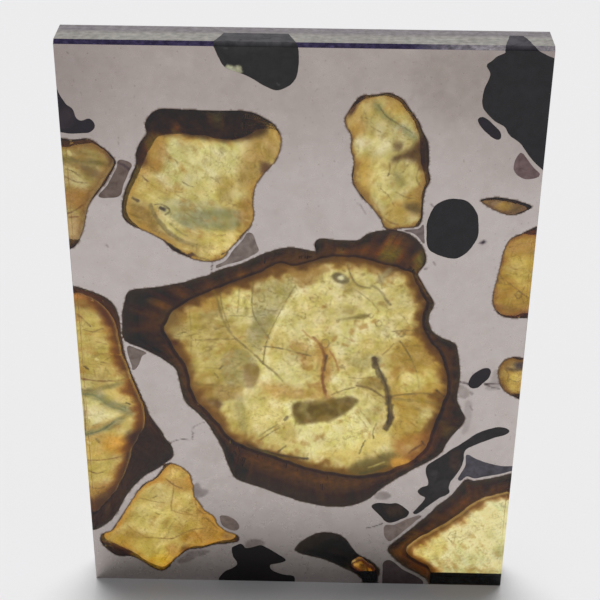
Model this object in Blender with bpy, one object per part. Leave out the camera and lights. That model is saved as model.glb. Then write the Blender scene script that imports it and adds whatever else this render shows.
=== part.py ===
"""A polished rectangular slice of a pallasite meteorite, standing on its lower cut edge.

Nickel-iron holds grains of olivine. The clear grains run through the whole slice, and most are wider
at the front face than at the back. The dark grains and the grey troilite end inside the metal.
The front face looks towards -Y, +Z is up, and the origin is the middle of the bottom edge.
"""

import bpy
import bmesh
from mathutils import Vector

# Driving dimensions, in millimetres

MM = 0.001
WIDTH = 50.0
HEIGHT = 70.0
THICKNESS = 4.5
FRONT = -THICKNESS / 2
BACK = THICKNESS / 2
TOP_CHAMFER = 0.4
GRAIN_GAP = 0.1
PAST_FACE = 0.6
GRAIN_LEAN = 0.32
DARK_DEPTH = 2.6
TROILITE_DEPTH = 1.3

# Colours as linear RGB

METAL = (0.34, 0.31, 0.32)
HONEY = (0.78, 0.62, 0.16)
PALE_GREEN = (0.76, 0.72, 0.28)
AMBER = (0.66, 0.42, 0.10)
NEAR_BLACK = (0.022, 0.019, 0.024)
GREY = (0.17, 0.155, 0.16)

# Grains of clear olivine that reach both faces.
# A row of four numbers is a point of the front outline and its partner on the back outline, as x, z, x, z.
# A row of two is a front point whose partner lies straight inwards, by the width of the rim.
# Every grain also leans: its outline sinks by GRAIN_LEAN of the depth behind the front face.

CENTRE_CRYSTAL = [
    (-19.75, 38.5, -15.2, 37.2), (-19.35, 40.0, -14.9, 38.0), (-19.05, 41.0, -14.4, 38.7),
    (-18.2, 41.45, -13.8, 39.2), (-16.5, 41.7, -13.0, 39.9), (-14.9, 41.95, -12.2, 40.4),
    (-13.2, 42.35, -11.3, 40.9), (-11.5, 42.95, -10.2, 41.4), (-10.3, 43.3, -9.2, 41.9),
    (-9.5, 43.75, -8.3, 42.3), (-8.0, 44.4, -7.1, 42.8), (-6.7, 44.8, -6.0, 43.2),
    (-5.2, 45.6, -4.9, 43.8), (-4.0, 46.2, -3.8, 44.4), (-2.4, 46.8, -2.4, 45.1),
    (-1.2, 47.0, -1.1, 44.8), (0.3, 46.75, 0.3, 45.1), (1.5, 46.6, 1.5, 45.6),
    (1.4, 47.4, 2.0, 45.75), (1.9, 48.05, 2.6, 45.9), (3.6, 48.0, 3.6, 46.05),
    (5.9, 48.0, 5.0, 46.1), (7.1, 48.85, 6.2, 45.95), (8.5, 49.25, 7.4, 45.7),
    (9.9, 49.3, 8.5, 45.35), (11.2, 48.95, 9.6, 45.1), (12.3, 48.2, 10.6, 44.8),
    (13.0, 47.2, 11.4, 44.5), (13.45, 46.0, 11.9, 44.3), (13.3, 45.1, 12.2, 44.05),
    (12.6, 44.1, 12.4, 43.6), (13.1, 43.0, 12.8, 42.7), (13.8, 41.7, 13.4, 41.5),
    (14.5, 40.5, 13.95, 40.5), (14.5, 39.8, 14.0, 39.8), (14.15, 39.0, 13.7, 39.0),
    (14.15, 37.9, 13.7, 37.8), (14.6, 36.7, 14.1, 36.3), (15.6, 35.9, 14.8, 35.2),
    (16.7, 35.45, 15.5, 34.4), (17.4, 34.8, 15.9, 33.6), (17.7, 33.2, 16.3, 32.4),
    (17.95, 31.5, 16.7, 31.2), (17.95, 29.8, 16.9, 29.8), (17.85, 28.6, 16.9, 28.6),
    (18.0, 27.4, 16.7, 27.4), (18.5, 26.1, 16.4, 26.2), (19.0, 25.0, 16.0, 25.0),
    (18.5, 23.8, 15.7, 23.9), (17.6, 22.5, 15.4, 22.8), (17.0, 21.3, 15.2, 21.7),
    (16.6, 20.2, 14.9, 20.6), (15.6, 19.2, 14.3, 19.6), (14.4, 18.35, 13.5, 18.7),
    (13.0, 17.4, 12.4, 18.0), (11.6, 16.3, 11.3, 17.4), (10.2, 15.15, 10.2, 16.9),
    (9.2, 14.1, 9.0, 16.5), (8.2, 13.1, 7.6, 16.3), (6.9, 12.35, 6.2, 16.4),
    (5.2, 11.9, 4.8, 16.5), (3.4, 11.9, 3.2, 16.8), (1.4, 12.3, 1.6, 17.2),
    (-0.6, 12.9, 0.0, 17.7), (-2.6, 13.7, -1.7, 18.4), (-4.6, 14.6, -3.5, 19.1),
    (-6.5, 15.3, -5.2, 19.8), (-7.7, 16.1, -6.6, 20.4), (-8.3, 17.8, -7.7, 21.0),
    (-8.9, 19.9, -8.6, 22.0), (-9.8, 22.1, -9.4, 23.2), (-10.8, 23.9, -10.2, 24.4),
    (-11.8, 25.2, -11.1, 25.6), (-13.0, 26.5, -12.1, 26.8), (-13.5, 28.2, -12.6, 28.3),
    (-13.8, 30.0, -12.9, 30.0), (-14.1, 31.2, -13.3, 31.6), (-15.3, 32.3, -13.9, 32.8),
    (-16.6, 33.2, -14.4, 33.8), (-18.0, 34.0, -14.9, 34.8), (-19.3, 34.6, -15.2, 35.6),
    (-19.8, 35.2, -15.4, 36.2), (-19.8, 37.2, -15.4, 36.8),
]

UPPER_LEFT_CRYSTAL = [
    (-16.1, 60.0, -15.3, 58.6), (-16.2, 61.0, -14.9, 59.3), (-15.8, 61.9, -14.2, 59.7),
    (-15.1, 62.55, -13.0, 59.65), (-14.1, 62.85, -11.8, 59.6), (-12.0, 62.75, -10.4, 59.5),
    (-10.0, 62.7, -9.2, 59.3), (-8.0, 62.7, -7.8, 59.2), (-6.2, 62.7, -6.4, 59.3),
    (-4.8, 62.4, -5.2, 59.9), (-3.5, 61.7, -4.3, 60.4), (-2.6, 60.8, -3.2, 60.3),
    (-2.25, 59.6, -2.7, 59.4), (-2.35, 58.3, -2.9, 58.2), (-2.9, 57.0, -3.5, 57.0),
    (-3.9, 55.8, -4.6, 55.8), (-4.8, 54.4, -5.5, 54.4), (-5.2, 52.6, -5.8, 52.6),
    (-5.1, 50.8, -5.7, 50.9), (-5.4, 49.5, -6.1, 49.8), (-6.5, 48.1, -7.0, 48.5),
    (-7.6, 46.8, -8.0, 47.2), (-8.5, 45.6, -9.0, 46.1), (-9.8, 45.1, -10.1, 45.6),
    (-11.2, 45.2, -11.3, 45.9), (-12.6, 45.8, -12.5, 46.8), (-13.8, 46.4, -13.6, 47.5),
    (-15.0, 47.7, -14.8, 48.3), (-16.6, 48.6, -16.2, 49.2), (-18.2, 49.4, -17.6, 50.0),
    (-19.0, 50.4, -18.2, 50.9), (-19.0, 52.1, -18.2, 52.2), (-18.5, 53.8, -17.6, 53.8),
    (-17.8, 55.4, -16.9, 55.2), (-17.35, 56.6, -16.4, 56.3), (-17.3, 57.8, -16.1, 57.2),
    (-16.8, 59.0, -15.7, 58.0),
]

UPPER_MIDDLE_CRYSTAL = [
    (5.3, 63.9, 5.9, 63.6), (6.0, 64.55, 6.5, 64.0), (7.4, 64.7, 7.5, 64.2),
    (8.8, 64.85, 8.8, 64.3), (10.0, 64.3, 9.7, 63.8), (10.8, 63.3, 10.3, 63.0),
    (11.6, 62.2, 11.0, 61.9), (12.3, 60.8, 11.5, 60.6), (12.9, 59.4, 11.7, 59.4),
    (13.1, 57.8, 11.8, 58.0), (13.1, 56.6, 12.2, 56.6), (13.3, 55.2, 12.5, 55.2),
    (12.9, 54.0, 12.2, 54.0), (12.75, 52.3, 12.2, 52.4), (12.75, 50.7, 12.1, 51.0),
    (12.3, 49.8, 11.6, 50.3), (10.8, 49.6, 10.5, 50.2), (9.0, 49.45, 9.4, 50.2),
    (8.3, 50.6, 8.8, 51.2), (7.3, 52.0, 7.9, 52.4), (6.2, 53.3, 6.9, 53.8),
    (5.4, 54.6, 6.1, 54.9), (5.2, 55.9, 5.9, 56.0), (5.35, 57.0, 5.9, 57.0),
    (5.05, 58.4, 5.6, 58.4), (4.9, 60.2, 5.4, 60.2), (4.45, 61.3, 5.0, 61.4),
    (4.25, 62.0, 4.8, 62.0), (4.7, 62.9, 5.2, 62.8),
]

LEFT_UPPER_CRYSTAL = [
    (-26.0, 59.8, -26.0, 58.9), (-24.8, 59.35, -24.8, 58.6), (-23.5, 59.25, -23.5, 58.6),
    (-22.3, 59.4, -22.3, 58.7), (-21.2, 58.8, -21.4, 58.2), (-20.2, 57.9, -20.7, 57.5),
    (-19.5, 56.9, -20.4, 56.9), (-19.7, 56.1, -20.8, 56.2), (-20.2, 55.2, -21.3, 55.4),
    (-21.0, 53.9, -22.0, 54.3), (-22.0, 52.6, -22.8, 53.2), (-22.7, 51.4, -23.5, 51.8),
    (-23.1, 49.8, -23.9, 50.1), (-23.6, 48.1, -24.3, 48.4), (-24.3, 46.8, -24.7, 47.4),
    (-26.0, 45.6, -26.0, 46.4),
]

LEFT_EDGE_CRYSTAL = [
    (-26.0, 42.1, -26.0, 41.2), (-24.6, 41.65, -24.7, 40.9), (-23.2, 41.2, -23.4, 40.3),
    (-22.0, 40.65, -22.4, 39.5), (-21.0, 39.95, -21.6, 38.6), (-20.5, 39.1, -21.1, 37.5),
    (-20.2, 38.1, -20.8, 36.4), (-20.05, 36.5, -20.7, 35.2), (-20.0, 34.8, -20.5, 33.8),
    (-19.8, 33.2, -20.2, 32.2), (-19.4, 31.5, -19.8, 30.6), (-18.9, 29.7, -19.3, 29.0),
    (-18.3, 27.8, -18.8, 27.3), (-17.7, 26.0, -18.3, 25.7), (-17.2, 24.4, -18.2, 24.2),
    (-16.3, 22.9, -18.5, 22.8), (-15.6, 21.5, -19.0, 21.6), (-14.9, 20.2, -19.6, 20.4),
    (-14.8, 19.0, -20.0, 19.2), (-15.4, 18.2, -20.4, 17.9), (-16.9, 17.0, -20.8, 16.5),
    (-18.4, 15.9, -21.2, 15.3), (-19.7, 14.4, -21.9, 14.1), (-20.7, 12.8, -22.6, 13.0),
    (-21.5, 11.1, -23.2, 12.0), (-22.4, 9.6, -23.9, 11.0), (-23.4, 8.5, -24.6, 10.3),
    (-24.4, 7.8, -25.3, 9.8), (-26.0, 7.3, -26.0, 9.6),
]

BOTTOM_LEFT_CRYSTAL = [
    (-16.4, 16.6, -15.9, 16.3), (-15.7, 17.7, -15.2, 17.0), (-14.8, 17.8, -14.6, 17.2),
    (-13.7, 17.2, -13.7, 16.6), (-12.9, 16.2, -13.3, 15.9), (-12.6, 14.8, -13.1, 14.7),
    (-12.5, 13.2, -13.0, 13.1), (-11.9, 12.0, -12.4, 11.7), (-11.2, 10.9, -11.6, 10.6),
    (-10.2, 10.0, -10.8, 9.7), (-9.8, 8.8, -10.4, 8.7), (-8.9, 7.9, -9.6, 7.7),
    (-7.5, 7.2, -8.5, 7.1), (-7.4, 6.3, -8.5, 6.6), (-8.8, 5.9, -9.2, 6.5),
    (-10.2, 5.7, -10.4, 6.3), (-11.8, 5.1, -11.9, 5.7), (-13.3, 4.9, -13.2, 5.5),
    (-14.3, 4.1, -14.4, 4.8), (-15.2, 3.2, -15.4, 3.8), (-16.0, 2.0, -16.3, 2.7),
    (-16.9, 1.4, -17.0, 2.2), (-18.0, 1.9, -18.1, 2.6), (-19.2, 2.9, -19.3, 3.5),
    (-20.6, 3.6, -20.5, 4.4), (-22.2, 3.7, -21.8, 5.1), (-23.3, 4.6, -22.6, 5.7),
    (-24.1, 5.8, -23.4, 6.2), (-23.9, 7.0, -23.2, 6.8), (-22.7, 7.6, -22.3, 7.3),
    (-21.9, 8.9, -21.5, 8.7), (-21.1, 10.2, -20.7, 10.1), (-20.3, 11.8, -19.9, 11.6),
    (-19.3, 13.5, -19.0, 13.1), (-18.3, 14.8, -18.0, 14.2), (-17.2, 15.5, -16.9, 14.9),
]

BOTTOM_RIGHT_CRYSTAL = [
    (26.0, 17.5, 26.0, 14.6), (24.6, 17.15, 24.7, 14.25), (23.2, 16.7, 23.4, 13.8),
    (21.8, 16.35, 22.2, 13.2), (20.6, 16.1, 21.2, 12.5), (19.8, 16.3, 20.5, 11.8),
    (19.1, 15.5, 19.9, 11.1), (18.4, 14.3, 19.2, 10.4), (17.5, 13.2, 18.3, 9.7),
    (16.5, 12.2, 17.3, 8.9), (15.6, 11.0, 16.3, 8.1), (14.6, 9.8, 15.4, 7.4),
    (13.5, 8.6, 14.6, 6.8), (12.3, 7.3, 13.9, 6.2), (11.3, 6.2, 13.4, 5.6),
    (10.9, 5.4, 13.3, 5.0), (11.3, 4.6, 13.5, 4.4), (12.2, 3.6, 14.1, 3.8),
    (13.3, 2.6, 15.0, 3.2), (14.6, 1.8, 15.9, 2.6), (15.8, 0.9, 16.4, 1.8),
    (16.2, 0.0, 16.6, 0.6), (16.3, -1.0, 16.7, -1.0), (26.0, -1.0, 26.0, -1.0),
]

RIGHT_EDGE_CRYSTAL = [
    (26.0, 50.5, 26.0, 49.9), (24.8, 49.9, 24.8, 49.3), (23.4, 49.1, 23.5, 48.5),
    (22.3, 48.5, 22.7, 48.0), (21.8, 47.5, 22.3, 47.2), (21.55, 46.2, 22.05, 46.1),
    (21.4, 44.6, 21.9, 44.6), (21.15, 43.0, 21.65, 43.0), (20.95, 41.6, 21.5, 41.6),
    (21.0, 40.4, 21.6, 40.7), (21.5, 39.4, 22.1, 39.9), (22.4, 38.8, 22.8, 39.5),
    (23.8, 38.65, 23.9, 39.4), (26.0, 38.7, 26.0, 39.4),
]

BOTTOM_MIDDLE_CRYSTAL = [
    (-0.4, 5.2, 6.6, 2.7), (0.3, 6.3, 6.7, 3.0), (1.6, 7.4, 6.9, 3.3),
    (2.8, 7.85, 7.1, 3.5), (4.4, 7.75, 7.3, 3.65), (5.7, 7.0, 7.5, 3.75),
    (6.4, 5.7, 7.8, 3.7), (7.2, 4.6, 8.2, 3.4), (8.5, 3.8, 8.6, 3.0),
    (9.6, 2.8, 9.2, 2.4), (10.05, 1.9, 9.5, 1.7), (9.8, 0.8, 9.5, 0.8),
    (9.9, -1.0, 9.6, -1.0), (8.1, -1.0, 8.2, -1.0), (7.8, 0.7, 7.9, 0.9),
    (6.6, 1.8, 7.2, 1.5), (5.0, 2.7, 6.9, 1.8), (3.4, 3.6, 6.7, 2.1),
    (1.6, 4.15, 6.6, 2.3), (0.2, 4.6, 6.55, 2.5),
]

RIGHT_SMALL_CRYSTAL = [
    (26.0, 33.3), (24.9, 33.4), (23.9, 33.5), (23.0, 33.2), (22.5, 32.5), (22.25, 31.6),
    (22.45, 30.6), (22.8, 29.5), (23.5, 28.7), (24.4, 28.15), (26.0, 27.3),
]

LENS_CRYSTAL = [
    (18.8, 53.0), (20.2, 53.35), (21.6, 53.25), (23.0, 52.85), (24.2, 52.35),
    (23.6, 51.85), (22.7, 51.4), (21.6, 51.4), (20.6, 51.75), (19.6, 52.3),
]

# Dark olivine that ends inside the metal, as front outlines

TOP_DARK = [
    (-9.1, 71.0), (-9.0, 69.6), (-8.5, 68.4), (-7.9, 67.4), (-6.6, 66.9), (-5.2, 66.25),
    (-4.1, 65.55), (-3.1, 65.1), (-2.3, 65.05), (-1.5, 65.45), (-0.9, 66.1), (-0.55, 67.0),
    (-0.45, 68.2), (-0.5, 69.4), (-0.9, 71.0),
]

TOP_RIGHT_DARK = [
    (20.1, 71.0), (20.05, 69.3), (19.3, 68.95), (18.8, 68.5), (18.3, 68.0), (18.7, 67.2),
    (18.55, 66.4), (18.2, 65.2), (18.15, 64.0), (18.6, 62.95), (19.5, 62.1), (20.5, 61.45),
    (21.2, 60.5), (22.2, 59.7), (22.9, 58.9), (23.6, 58.0), (24.5, 57.0), (26.0, 55.6),
    (26.0, 68.4), (24.4, 69.1), (23.6, 69.5), (22.9, 70.0), (22.6, 71.0),
]

SMALL_OVAL_DARK = [
    (17.85, 62.2), (18.3, 62.45), (18.8, 62.2), (19.4, 61.7), (20.0, 61.1), (20.35, 60.5),
    (20.3, 60.05), (19.9, 59.95), (19.3, 60.3), (18.6, 60.95), (18.1, 61.55),
]

ROUND_DARK = [
    (13.35, 48.0), (13.3, 49.0), (13.3, 50.2), (13.55, 51.3), (14.1, 52.3), (14.9, 52.9),
    (16.0, 53.15), (17.1, 53.0), (17.95, 52.35), (18.5, 51.4), (18.8, 50.2), (18.8, 49.0),
    (18.5, 47.9), (17.9, 46.9), (17.1, 46.2), (16.2, 45.95), (15.1, 46.2), (14.2, 46.6),
    (13.55, 47.2),
]

RIGHT_OVAL_DARK = [
    (19.05, 30.0), (19.45, 31.0), (20.0, 31.6), (20.6, 31.95), (21.2, 31.95), (21.5, 31.6),
    (21.4, 31.0), (21.1, 30.4), (20.6, 29.8), (20.2, 29.3), (19.6, 29.15), (19.15, 29.5),
]

LEFT_DARK = [
    (-26.0, 66.0), (-25.0, 64.8), (-24.6, 63.9), (-24.1, 63.1), (-23.5, 62.6), (-23.25, 61.7),
    (-22.8, 61.35), (-22.0, 61.6), (-21.5, 61.2), (-21.4, 60.6), (-21.9, 60.1), (-22.6, 60.0),
    (-24.0, 59.9), (-26.0, 60.25),
]

BOTTOM_DARK = [
    (-7.6, 5.6), (-7.1, 5.85), (-6.7, 5.6), (-6.4, 5.2), (-5.6, 5.4), (-4.6, 5.7), (-3.8, 5.3),
    (-2.8, 4.6), (-1.8, 3.8), (-1.6, 3.3), (-2.4, 2.9), (-3.4, 2.6), (-3.2, 1.8), (-2.0, 1.2),
    (-0.6, 0.9), (-0.3, -1.0), (-10.0, -1.0), (-9.8, 0.4), (-9.1, 1.4), (-8.0, 2.1),
    (-7.5, 2.7), (-7.9, 3.7), (-8.15, 4.7), (-8.1, 5.3),
]

LOWER_DARK = [
    (8.7, 12.0), (8.95, 12.4), (9.6, 12.6), (10.8, 12.5), (11.6, 12.55), (12.3, 12.2),
    (12.9, 11.7), (13.2, 11.2), (12.9, 10.5), (12.3, 10.15), (11.7, 9.75), (10.9, 9.55),
    (10.3, 9.9), (9.9, 10.5), (9.3, 11.1), (8.9, 11.6),
]

DARK_VEIN = [
    (17.0, 20.0), (17.8, 20.7), (18.7, 21.4), (19.6, 22.2), (20.6, 23.0), (21.7, 23.6),
    (22.8, 23.9), (23.8, 23.8), (24.25, 23.35), (23.8, 22.85), (22.6, 22.4), (21.3, 21.8),
    (20.2, 21.2), (19.5, 20.7), (19.2, 20.1), (19.2, 19.2), (19.0, 18.2), (18.6, 17.2),
    (18.2, 16.4), (17.9, 15.9), (17.75, 15.0), (17.85, 14.35), (17.3, 13.8), (16.7, 13.5),
    (16.1, 12.9), (15.4, 12.2), (14.7, 11.4), (14.0, 10.95), (13.65, 11.2), (14.2, 12.0),
    (14.8, 12.9), (15.0, 13.5), (14.5, 13.8), (14.1, 14.4), (14.5, 15.0), (15.2, 15.3),
    (15.2, 16.1), (14.9, 17.2), (15.0, 18.2), (15.7, 18.9), (16.45, 19.5),
]

# Grey troilite, which lies against the olivine

UPPER_LEFT_TROILITE = [
    (-19.25, 56.9), (-18.6, 57.0), (-17.8, 56.5), (-18.15, 55.5), (-18.75, 54.2), (-19.2, 52.9),
    (-20.3, 52.6), (-21.5, 52.7), (-20.65, 53.9), (-19.9, 55.2), (-19.4, 56.1),
]

MIDDLE_LEFT_TROILITE = [
    (-5.8, 48.65), (-5.2, 48.5), (-4.9, 47.5), (-4.6, 46.5), (-5.4, 45.9), (-6.8, 45.15),
    (-8.1, 44.75), (-9.2, 44.25), (-9.25, 44.6), (-8.2, 45.3), (-7.3, 46.6), (-6.3, 47.8),
]

MIDDLE_RIGHT_TROILITE = [
    (10.9, 49.3), (12.4, 49.5), (12.95, 50.0), (13.05, 48.9), (13.1, 47.7), (12.5, 48.4),
    (11.8, 48.95),
]

RIGHT_TROILITE = [
    (22.0, 57.7), (22.5, 58.5), (22.8, 58.4), (23.3, 57.8), (24.1, 56.8), (24.7, 56.1),
    (24.3, 55.7), (23.3, 55.5), (22.5, 55.9), (21.95, 56.7),
]

LEFT_TROILITE = [
    (-19.4, 34.1), (-18.9, 34.1), (-17.9, 33.6), (-17.3, 33.2), (-17.8, 32.8), (-18.1, 32.0),
    (-18.5, 31.2), (-18.95, 30.9), (-19.1, 31.8), (-19.45, 33.2),
]

LOWER_RIGHT_TROILITE = [
    (19.5, 19.9), (20.6, 19.35), (22.0, 18.75), (23.6, 18.4), (26.0, 18.3), (26.0, 17.9),
    (24.5, 17.5), (23.1, 17.05), (21.7, 16.7), (20.6, 16.45), (19.75, 16.75), (19.1, 16.1),
    (18.75, 16.4), (19.1, 17.3), (19.45, 18.4),
]

LOWER_TROILITE = [
    (10.4, 9.15), (11.5, 9.25), (12.5, 9.9), (13.6, 10.45), (14.4, 10.8), (14.75, 10.7),
    (14.1, 9.9), (13.1, 8.75), (12.0, 7.55), (11.2, 6.75), (10.8, 6.9), (10.3, 7.8),
]

BOTTOM_LEFT_TROILITE = [
    (-9.5, 10.1), (-8.7, 10.2), (-8.1, 9.9), (-7.5, 9.4), (-7.2, 8.8), (-7.2, 8.2),
    (-7.7, 7.9), (-8.6, 8.2), (-9.3, 8.8),
]

BOTTOM_TROILITE = [
    (10.4, 3.3), (11.1, 3.75), (11.9, 3.3), (12.9, 2.3), (14.2, 1.45), (15.3, 0.7),
    (15.8, -1.0), (10.4, -1.0), (10.4, 1.9),
]

# Every grain as name, outline, rim width, depth from the front face, and colour.
# A depth equal to the thickness means that the grain shows on the back too.

GRAINS = [
    ("olivine_centre", CENTRE_CRYSTAL, 0.0, THICKNESS, HONEY),
    ("olivine_upper_left", UPPER_LEFT_CRYSTAL, 0.0, THICKNESS, HONEY),
    ("olivine_upper_middle", UPPER_MIDDLE_CRYSTAL, 0.0, THICKNESS, HONEY),
    ("olivine_left_upper", LEFT_UPPER_CRYSTAL, 0.0, THICKNESS, AMBER),
    ("olivine_left_edge", LEFT_EDGE_CRYSTAL, 0.0, THICKNESS, HONEY),
    ("olivine_bottom_left", BOTTOM_LEFT_CRYSTAL, 0.0, THICKNESS, HONEY),
    ("olivine_bottom_right", BOTTOM_RIGHT_CRYSTAL, 0.0, THICKNESS, PALE_GREEN),
    ("olivine_right_edge", RIGHT_EDGE_CRYSTAL, 0.0, THICKNESS, AMBER),
    ("olivine_bottom_middle", BOTTOM_MIDDLE_CRYSTAL, 0.0, THICKNESS, AMBER),
    ("olivine_right_small", RIGHT_SMALL_CRYSTAL, 0.4, THICKNESS, AMBER),
    ("olivine_lens", LENS_CRYSTAL, 0.25, THICKNESS, AMBER),
    ("dark_olivine_top", TOP_DARK, 1.2, 2.8, NEAR_BLACK),
    ("dark_olivine_top_right", TOP_RIGHT_DARK, 0.9, 3.2, NEAR_BLACK),
    ("dark_olivine_small_oval", SMALL_OVAL_DARK, 0.3, 1.6, NEAR_BLACK),
    ("dark_olivine_round", ROUND_DARK, 0.7, DARK_DEPTH, NEAR_BLACK),
    ("dark_olivine_right_oval", RIGHT_OVAL_DARK, 0.4, 1.8, NEAR_BLACK),
    ("dark_olivine_left", LEFT_DARK, 0.3, 2.0, NEAR_BLACK),
    ("dark_olivine_bottom", BOTTOM_DARK, 0.35, 2.4, NEAR_BLACK),
    ("dark_olivine_lower", LOWER_DARK, 0.5, 2.0, NEAR_BLACK),
    ("dark_olivine_vein", DARK_VEIN, 0.25, 2.2, NEAR_BLACK),
    ("troilite_upper_left", UPPER_LEFT_TROILITE, 0.25, TROILITE_DEPTH, GREY),
    ("troilite_middle_left", MIDDLE_LEFT_TROILITE, 0.12, TROILITE_DEPTH, GREY),
    ("troilite_middle_right", MIDDLE_RIGHT_TROILITE, 0.15, TROILITE_DEPTH, GREY),
    ("troilite_right", RIGHT_TROILITE, 0.3, TROILITE_DEPTH, GREY),
    ("troilite_left", LEFT_TROILITE, 0.2, TROILITE_DEPTH, GREY),
    ("troilite_lower_right", LOWER_RIGHT_TROILITE, 0.2, TROILITE_DEPTH, GREY),
    ("troilite_lower", LOWER_TROILITE, 0.2, TROILITE_DEPTH, GREY),
    ("troilite_bottom_left", BOTTOM_LEFT_TROILITE, 0.3, TROILITE_DEPTH, GREY),
    ("troilite_bottom", BOTTOM_TROILITE, 0.2, TROILITE_DEPTH, GREY),
]


def material(name, colour, roughness, metallic, transmission=0.0):
    """A Principled material, which is clear where transmission is 1."""
    made = bpy.data.materials.new(name)
    made.use_nodes = True
    made.diffuse_color = (*colour, 1.0)
    shader = made.node_tree.nodes["Principled BSDF"]
    shader.inputs["Base Color"].default_value = (*colour, 1.0)
    shader.inputs["Roughness"].default_value = roughness
    shader.inputs["Metallic"].default_value = metallic
    shader.inputs["Transmission Weight"].default_value = transmission
    shader.inputs["IOR"].default_value = 1.67 if transmission else 1.5
    return made


def object_from(bm, name, collection):
    """An object with the mesh that bm holds, in millimetres there and in metres here."""
    bmesh.ops.scale(bm, vec=Vector((MM, MM, MM)), verts=bm.verts)
    bmesh.ops.recalc_face_normals(bm, faces=bm.faces)
    mesh = bpy.data.meshes.new(name)
    bm.to_mesh(mesh)
    bm.free()
    made = bpy.data.objects.new(name, mesh)
    collection.objects.link(made)
    return made


def outward_normals(ring):
    """The direction straight out of a closed outline at each of its points."""
    count = len(ring)
    area = sum(
        ring[i].x * ring[(i + 1) % count].y - ring[(i + 1) % count].x * ring[i].y for i in range(count)
    )
    turn = 1.0 if area > 0 else -1.0
    normals = []
    for i in range(count):
        along = (ring[(i + 1) % count] - ring[i]).normalized() + (ring[i] - ring[i - 1]).normalized()
        normals.append(Vector((along.y, -along.x)).normalized() * turn)
    return normals


def moved_out(ring, distance):
    return [point + normal * distance for point, normal in zip(ring, outward_normals(ring))]


def front_and_back(rows, rim, depth):
    """The front outline of a grain and the one where it ends, point by point."""
    front = [Vector(row[:2]) for row in rows]
    back = [Vector(row[2:]) for row in rows] if len(rows[0]) == 4 else moved_out(front, -rim)
    # A point past the slice's edge stays past it, so that the edge still cuts the grain
    for i, point in enumerate(front):
        if abs(point.x) > WIDTH / 2:
            back[i].x = point.x
        if point.y < 0 or point.y > HEIGHT:
            back[i].y = point.y
        else:
            back[i].y -= GRAIN_LEAN * depth
    return front, back


def loft(name, sections, collection):
    """A closed solid through outlines of equal length, each given with its y."""
    bm = bmesh.new()
    rings = [[bm.verts.new((p.x, y, p.y)) for p in ring] for y, ring in sections]
    count = len(rings[0])
    for near, far in zip(rings, rings[1:]):
        for i in range(count):
            j = (i + 1) % count
            bm.faces.new((near[i], near[j], far[j]))
            bm.faces.new((near[i], far[j], far[i]))
    bm.faces.new(rings[0])
    bm.faces.new(list(reversed(rings[-1])))
    bm.normal_update()
    bmesh.ops.triangulate(bm, faces=[face for face in bm.faces if len(face.verts) > 3])
    return object_from(bm, name, collection)


def slice_block(name, collection):
    """The whole slice as one block, with the chamfer along its front top edge."""
    bm = bmesh.new()
    bmesh.ops.create_cube(bm, size=1.0)
    bmesh.ops.scale(bm, vec=Vector((WIDTH, THICKNESS, HEIGHT)), verts=bm.verts)
    bmesh.ops.translate(bm, vec=Vector((0, 0, HEIGHT / 2)), verts=bm.verts)
    front_top = [
        edge
        for edge in bm.edges
        if all(v.co.y < 0 and v.co.z > HEIGHT - 0.01 for v in edge.verts)
    ]
    bmesh.ops.bevel(bm, geom=front_top, offset=TOP_CHAMFER, segments=1, affect="EDGES")
    return object_from(bm, name, collection)


def boolean(target, operation, other):
    modifier = target.modifiers.new(f"{operation.lower()} {other.name}", "BOOLEAN")
    modifier.operation = operation
    modifier.solver = "EXACT"
    modifier.use_self = True
    modifier.object = other


for leftover in list(bpy.data.objects):
    bpy.data.objects.remove(leftover, do_unlink=True)

meteorite = bpy.data.collections.new("pallasite_meteorite_slice")
cutters = bpy.data.collections.new("pocket_cutters")
bpy.context.scene.collection.children.link(meteorite)
bpy.context.scene.collection.children.link(cutters)

slab = slice_block("nickel_iron_slice", meteorite)
slab.data.materials.append(material("nickel_iron", METAL, 0.35, 1.0))
trim = slice_block("slice_trim", cutters)

for name, rows, rim, depth, colour in GRAINS:
    front, back = front_and_back(rows, rim, depth)
    through = depth >= THICKNESS
    end = BACK if through else FRONT + depth
    at_edge = any(abs(p.x) > WIDTH / 2 or p.y < 0 or p.y > HEIGHT for p in front)

    # The grain itself, a little inside its outline
    inner_front = moved_out(front, -GRAIN_GAP / 2)
    inner_back = moved_out(back, -GRAIN_GAP / 2)
    if at_edge:
        sections = [(FRONT - PAST_FACE, inner_front), (FRONT, inner_front), (end, inner_back)]
        if through:
            sections.append((BACK + PAST_FACE, inner_back))
        grain = loft(name, sections, meteorite)
        boolean(grain, "INTERSECT", trim)
    else:
        grain = loft(name, [(FRONT, inner_front), (end, inner_back)], meteorite)
    clear = 1.0 if name.startswith("olivine") else 0.0
    rough = 0.4 if name.startswith("troilite") else 0.15
    grain.data.materials.append(material(f"{name}_material", colour, rough, 0.0, clear))

    # Its pocket in the metal, a little outside the outline
    outer_front = moved_out(front, GRAIN_GAP / 2)
    outer_back = moved_out(back, GRAIN_GAP / 2)
    floor = BACK if through else end + GRAIN_GAP
    sections = [(FRONT - PAST_FACE, outer_front), (FRONT, outer_front), (floor, outer_back)]
    if through:
        sections.append((BACK + PAST_FACE, outer_back))
    pocket = loft(f"{name}_pocket", sections, cutters)
    boolean(slab, "DIFFERENCE", pocket)

for helper in cutters.objects:
    helper.hide_render = True
    helper.display_type = "WIRE"
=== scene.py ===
"""Looks of a polished pallasite meteorite slice: nickel-iron set with clear, dark and rust-edged olivine."""

import math

import bmesh
import bpy
import numpy as np
from mathutils import Matrix, Vector, kdtree, noise
from mathutils.geometry import delaunay_2d_cdt


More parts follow.
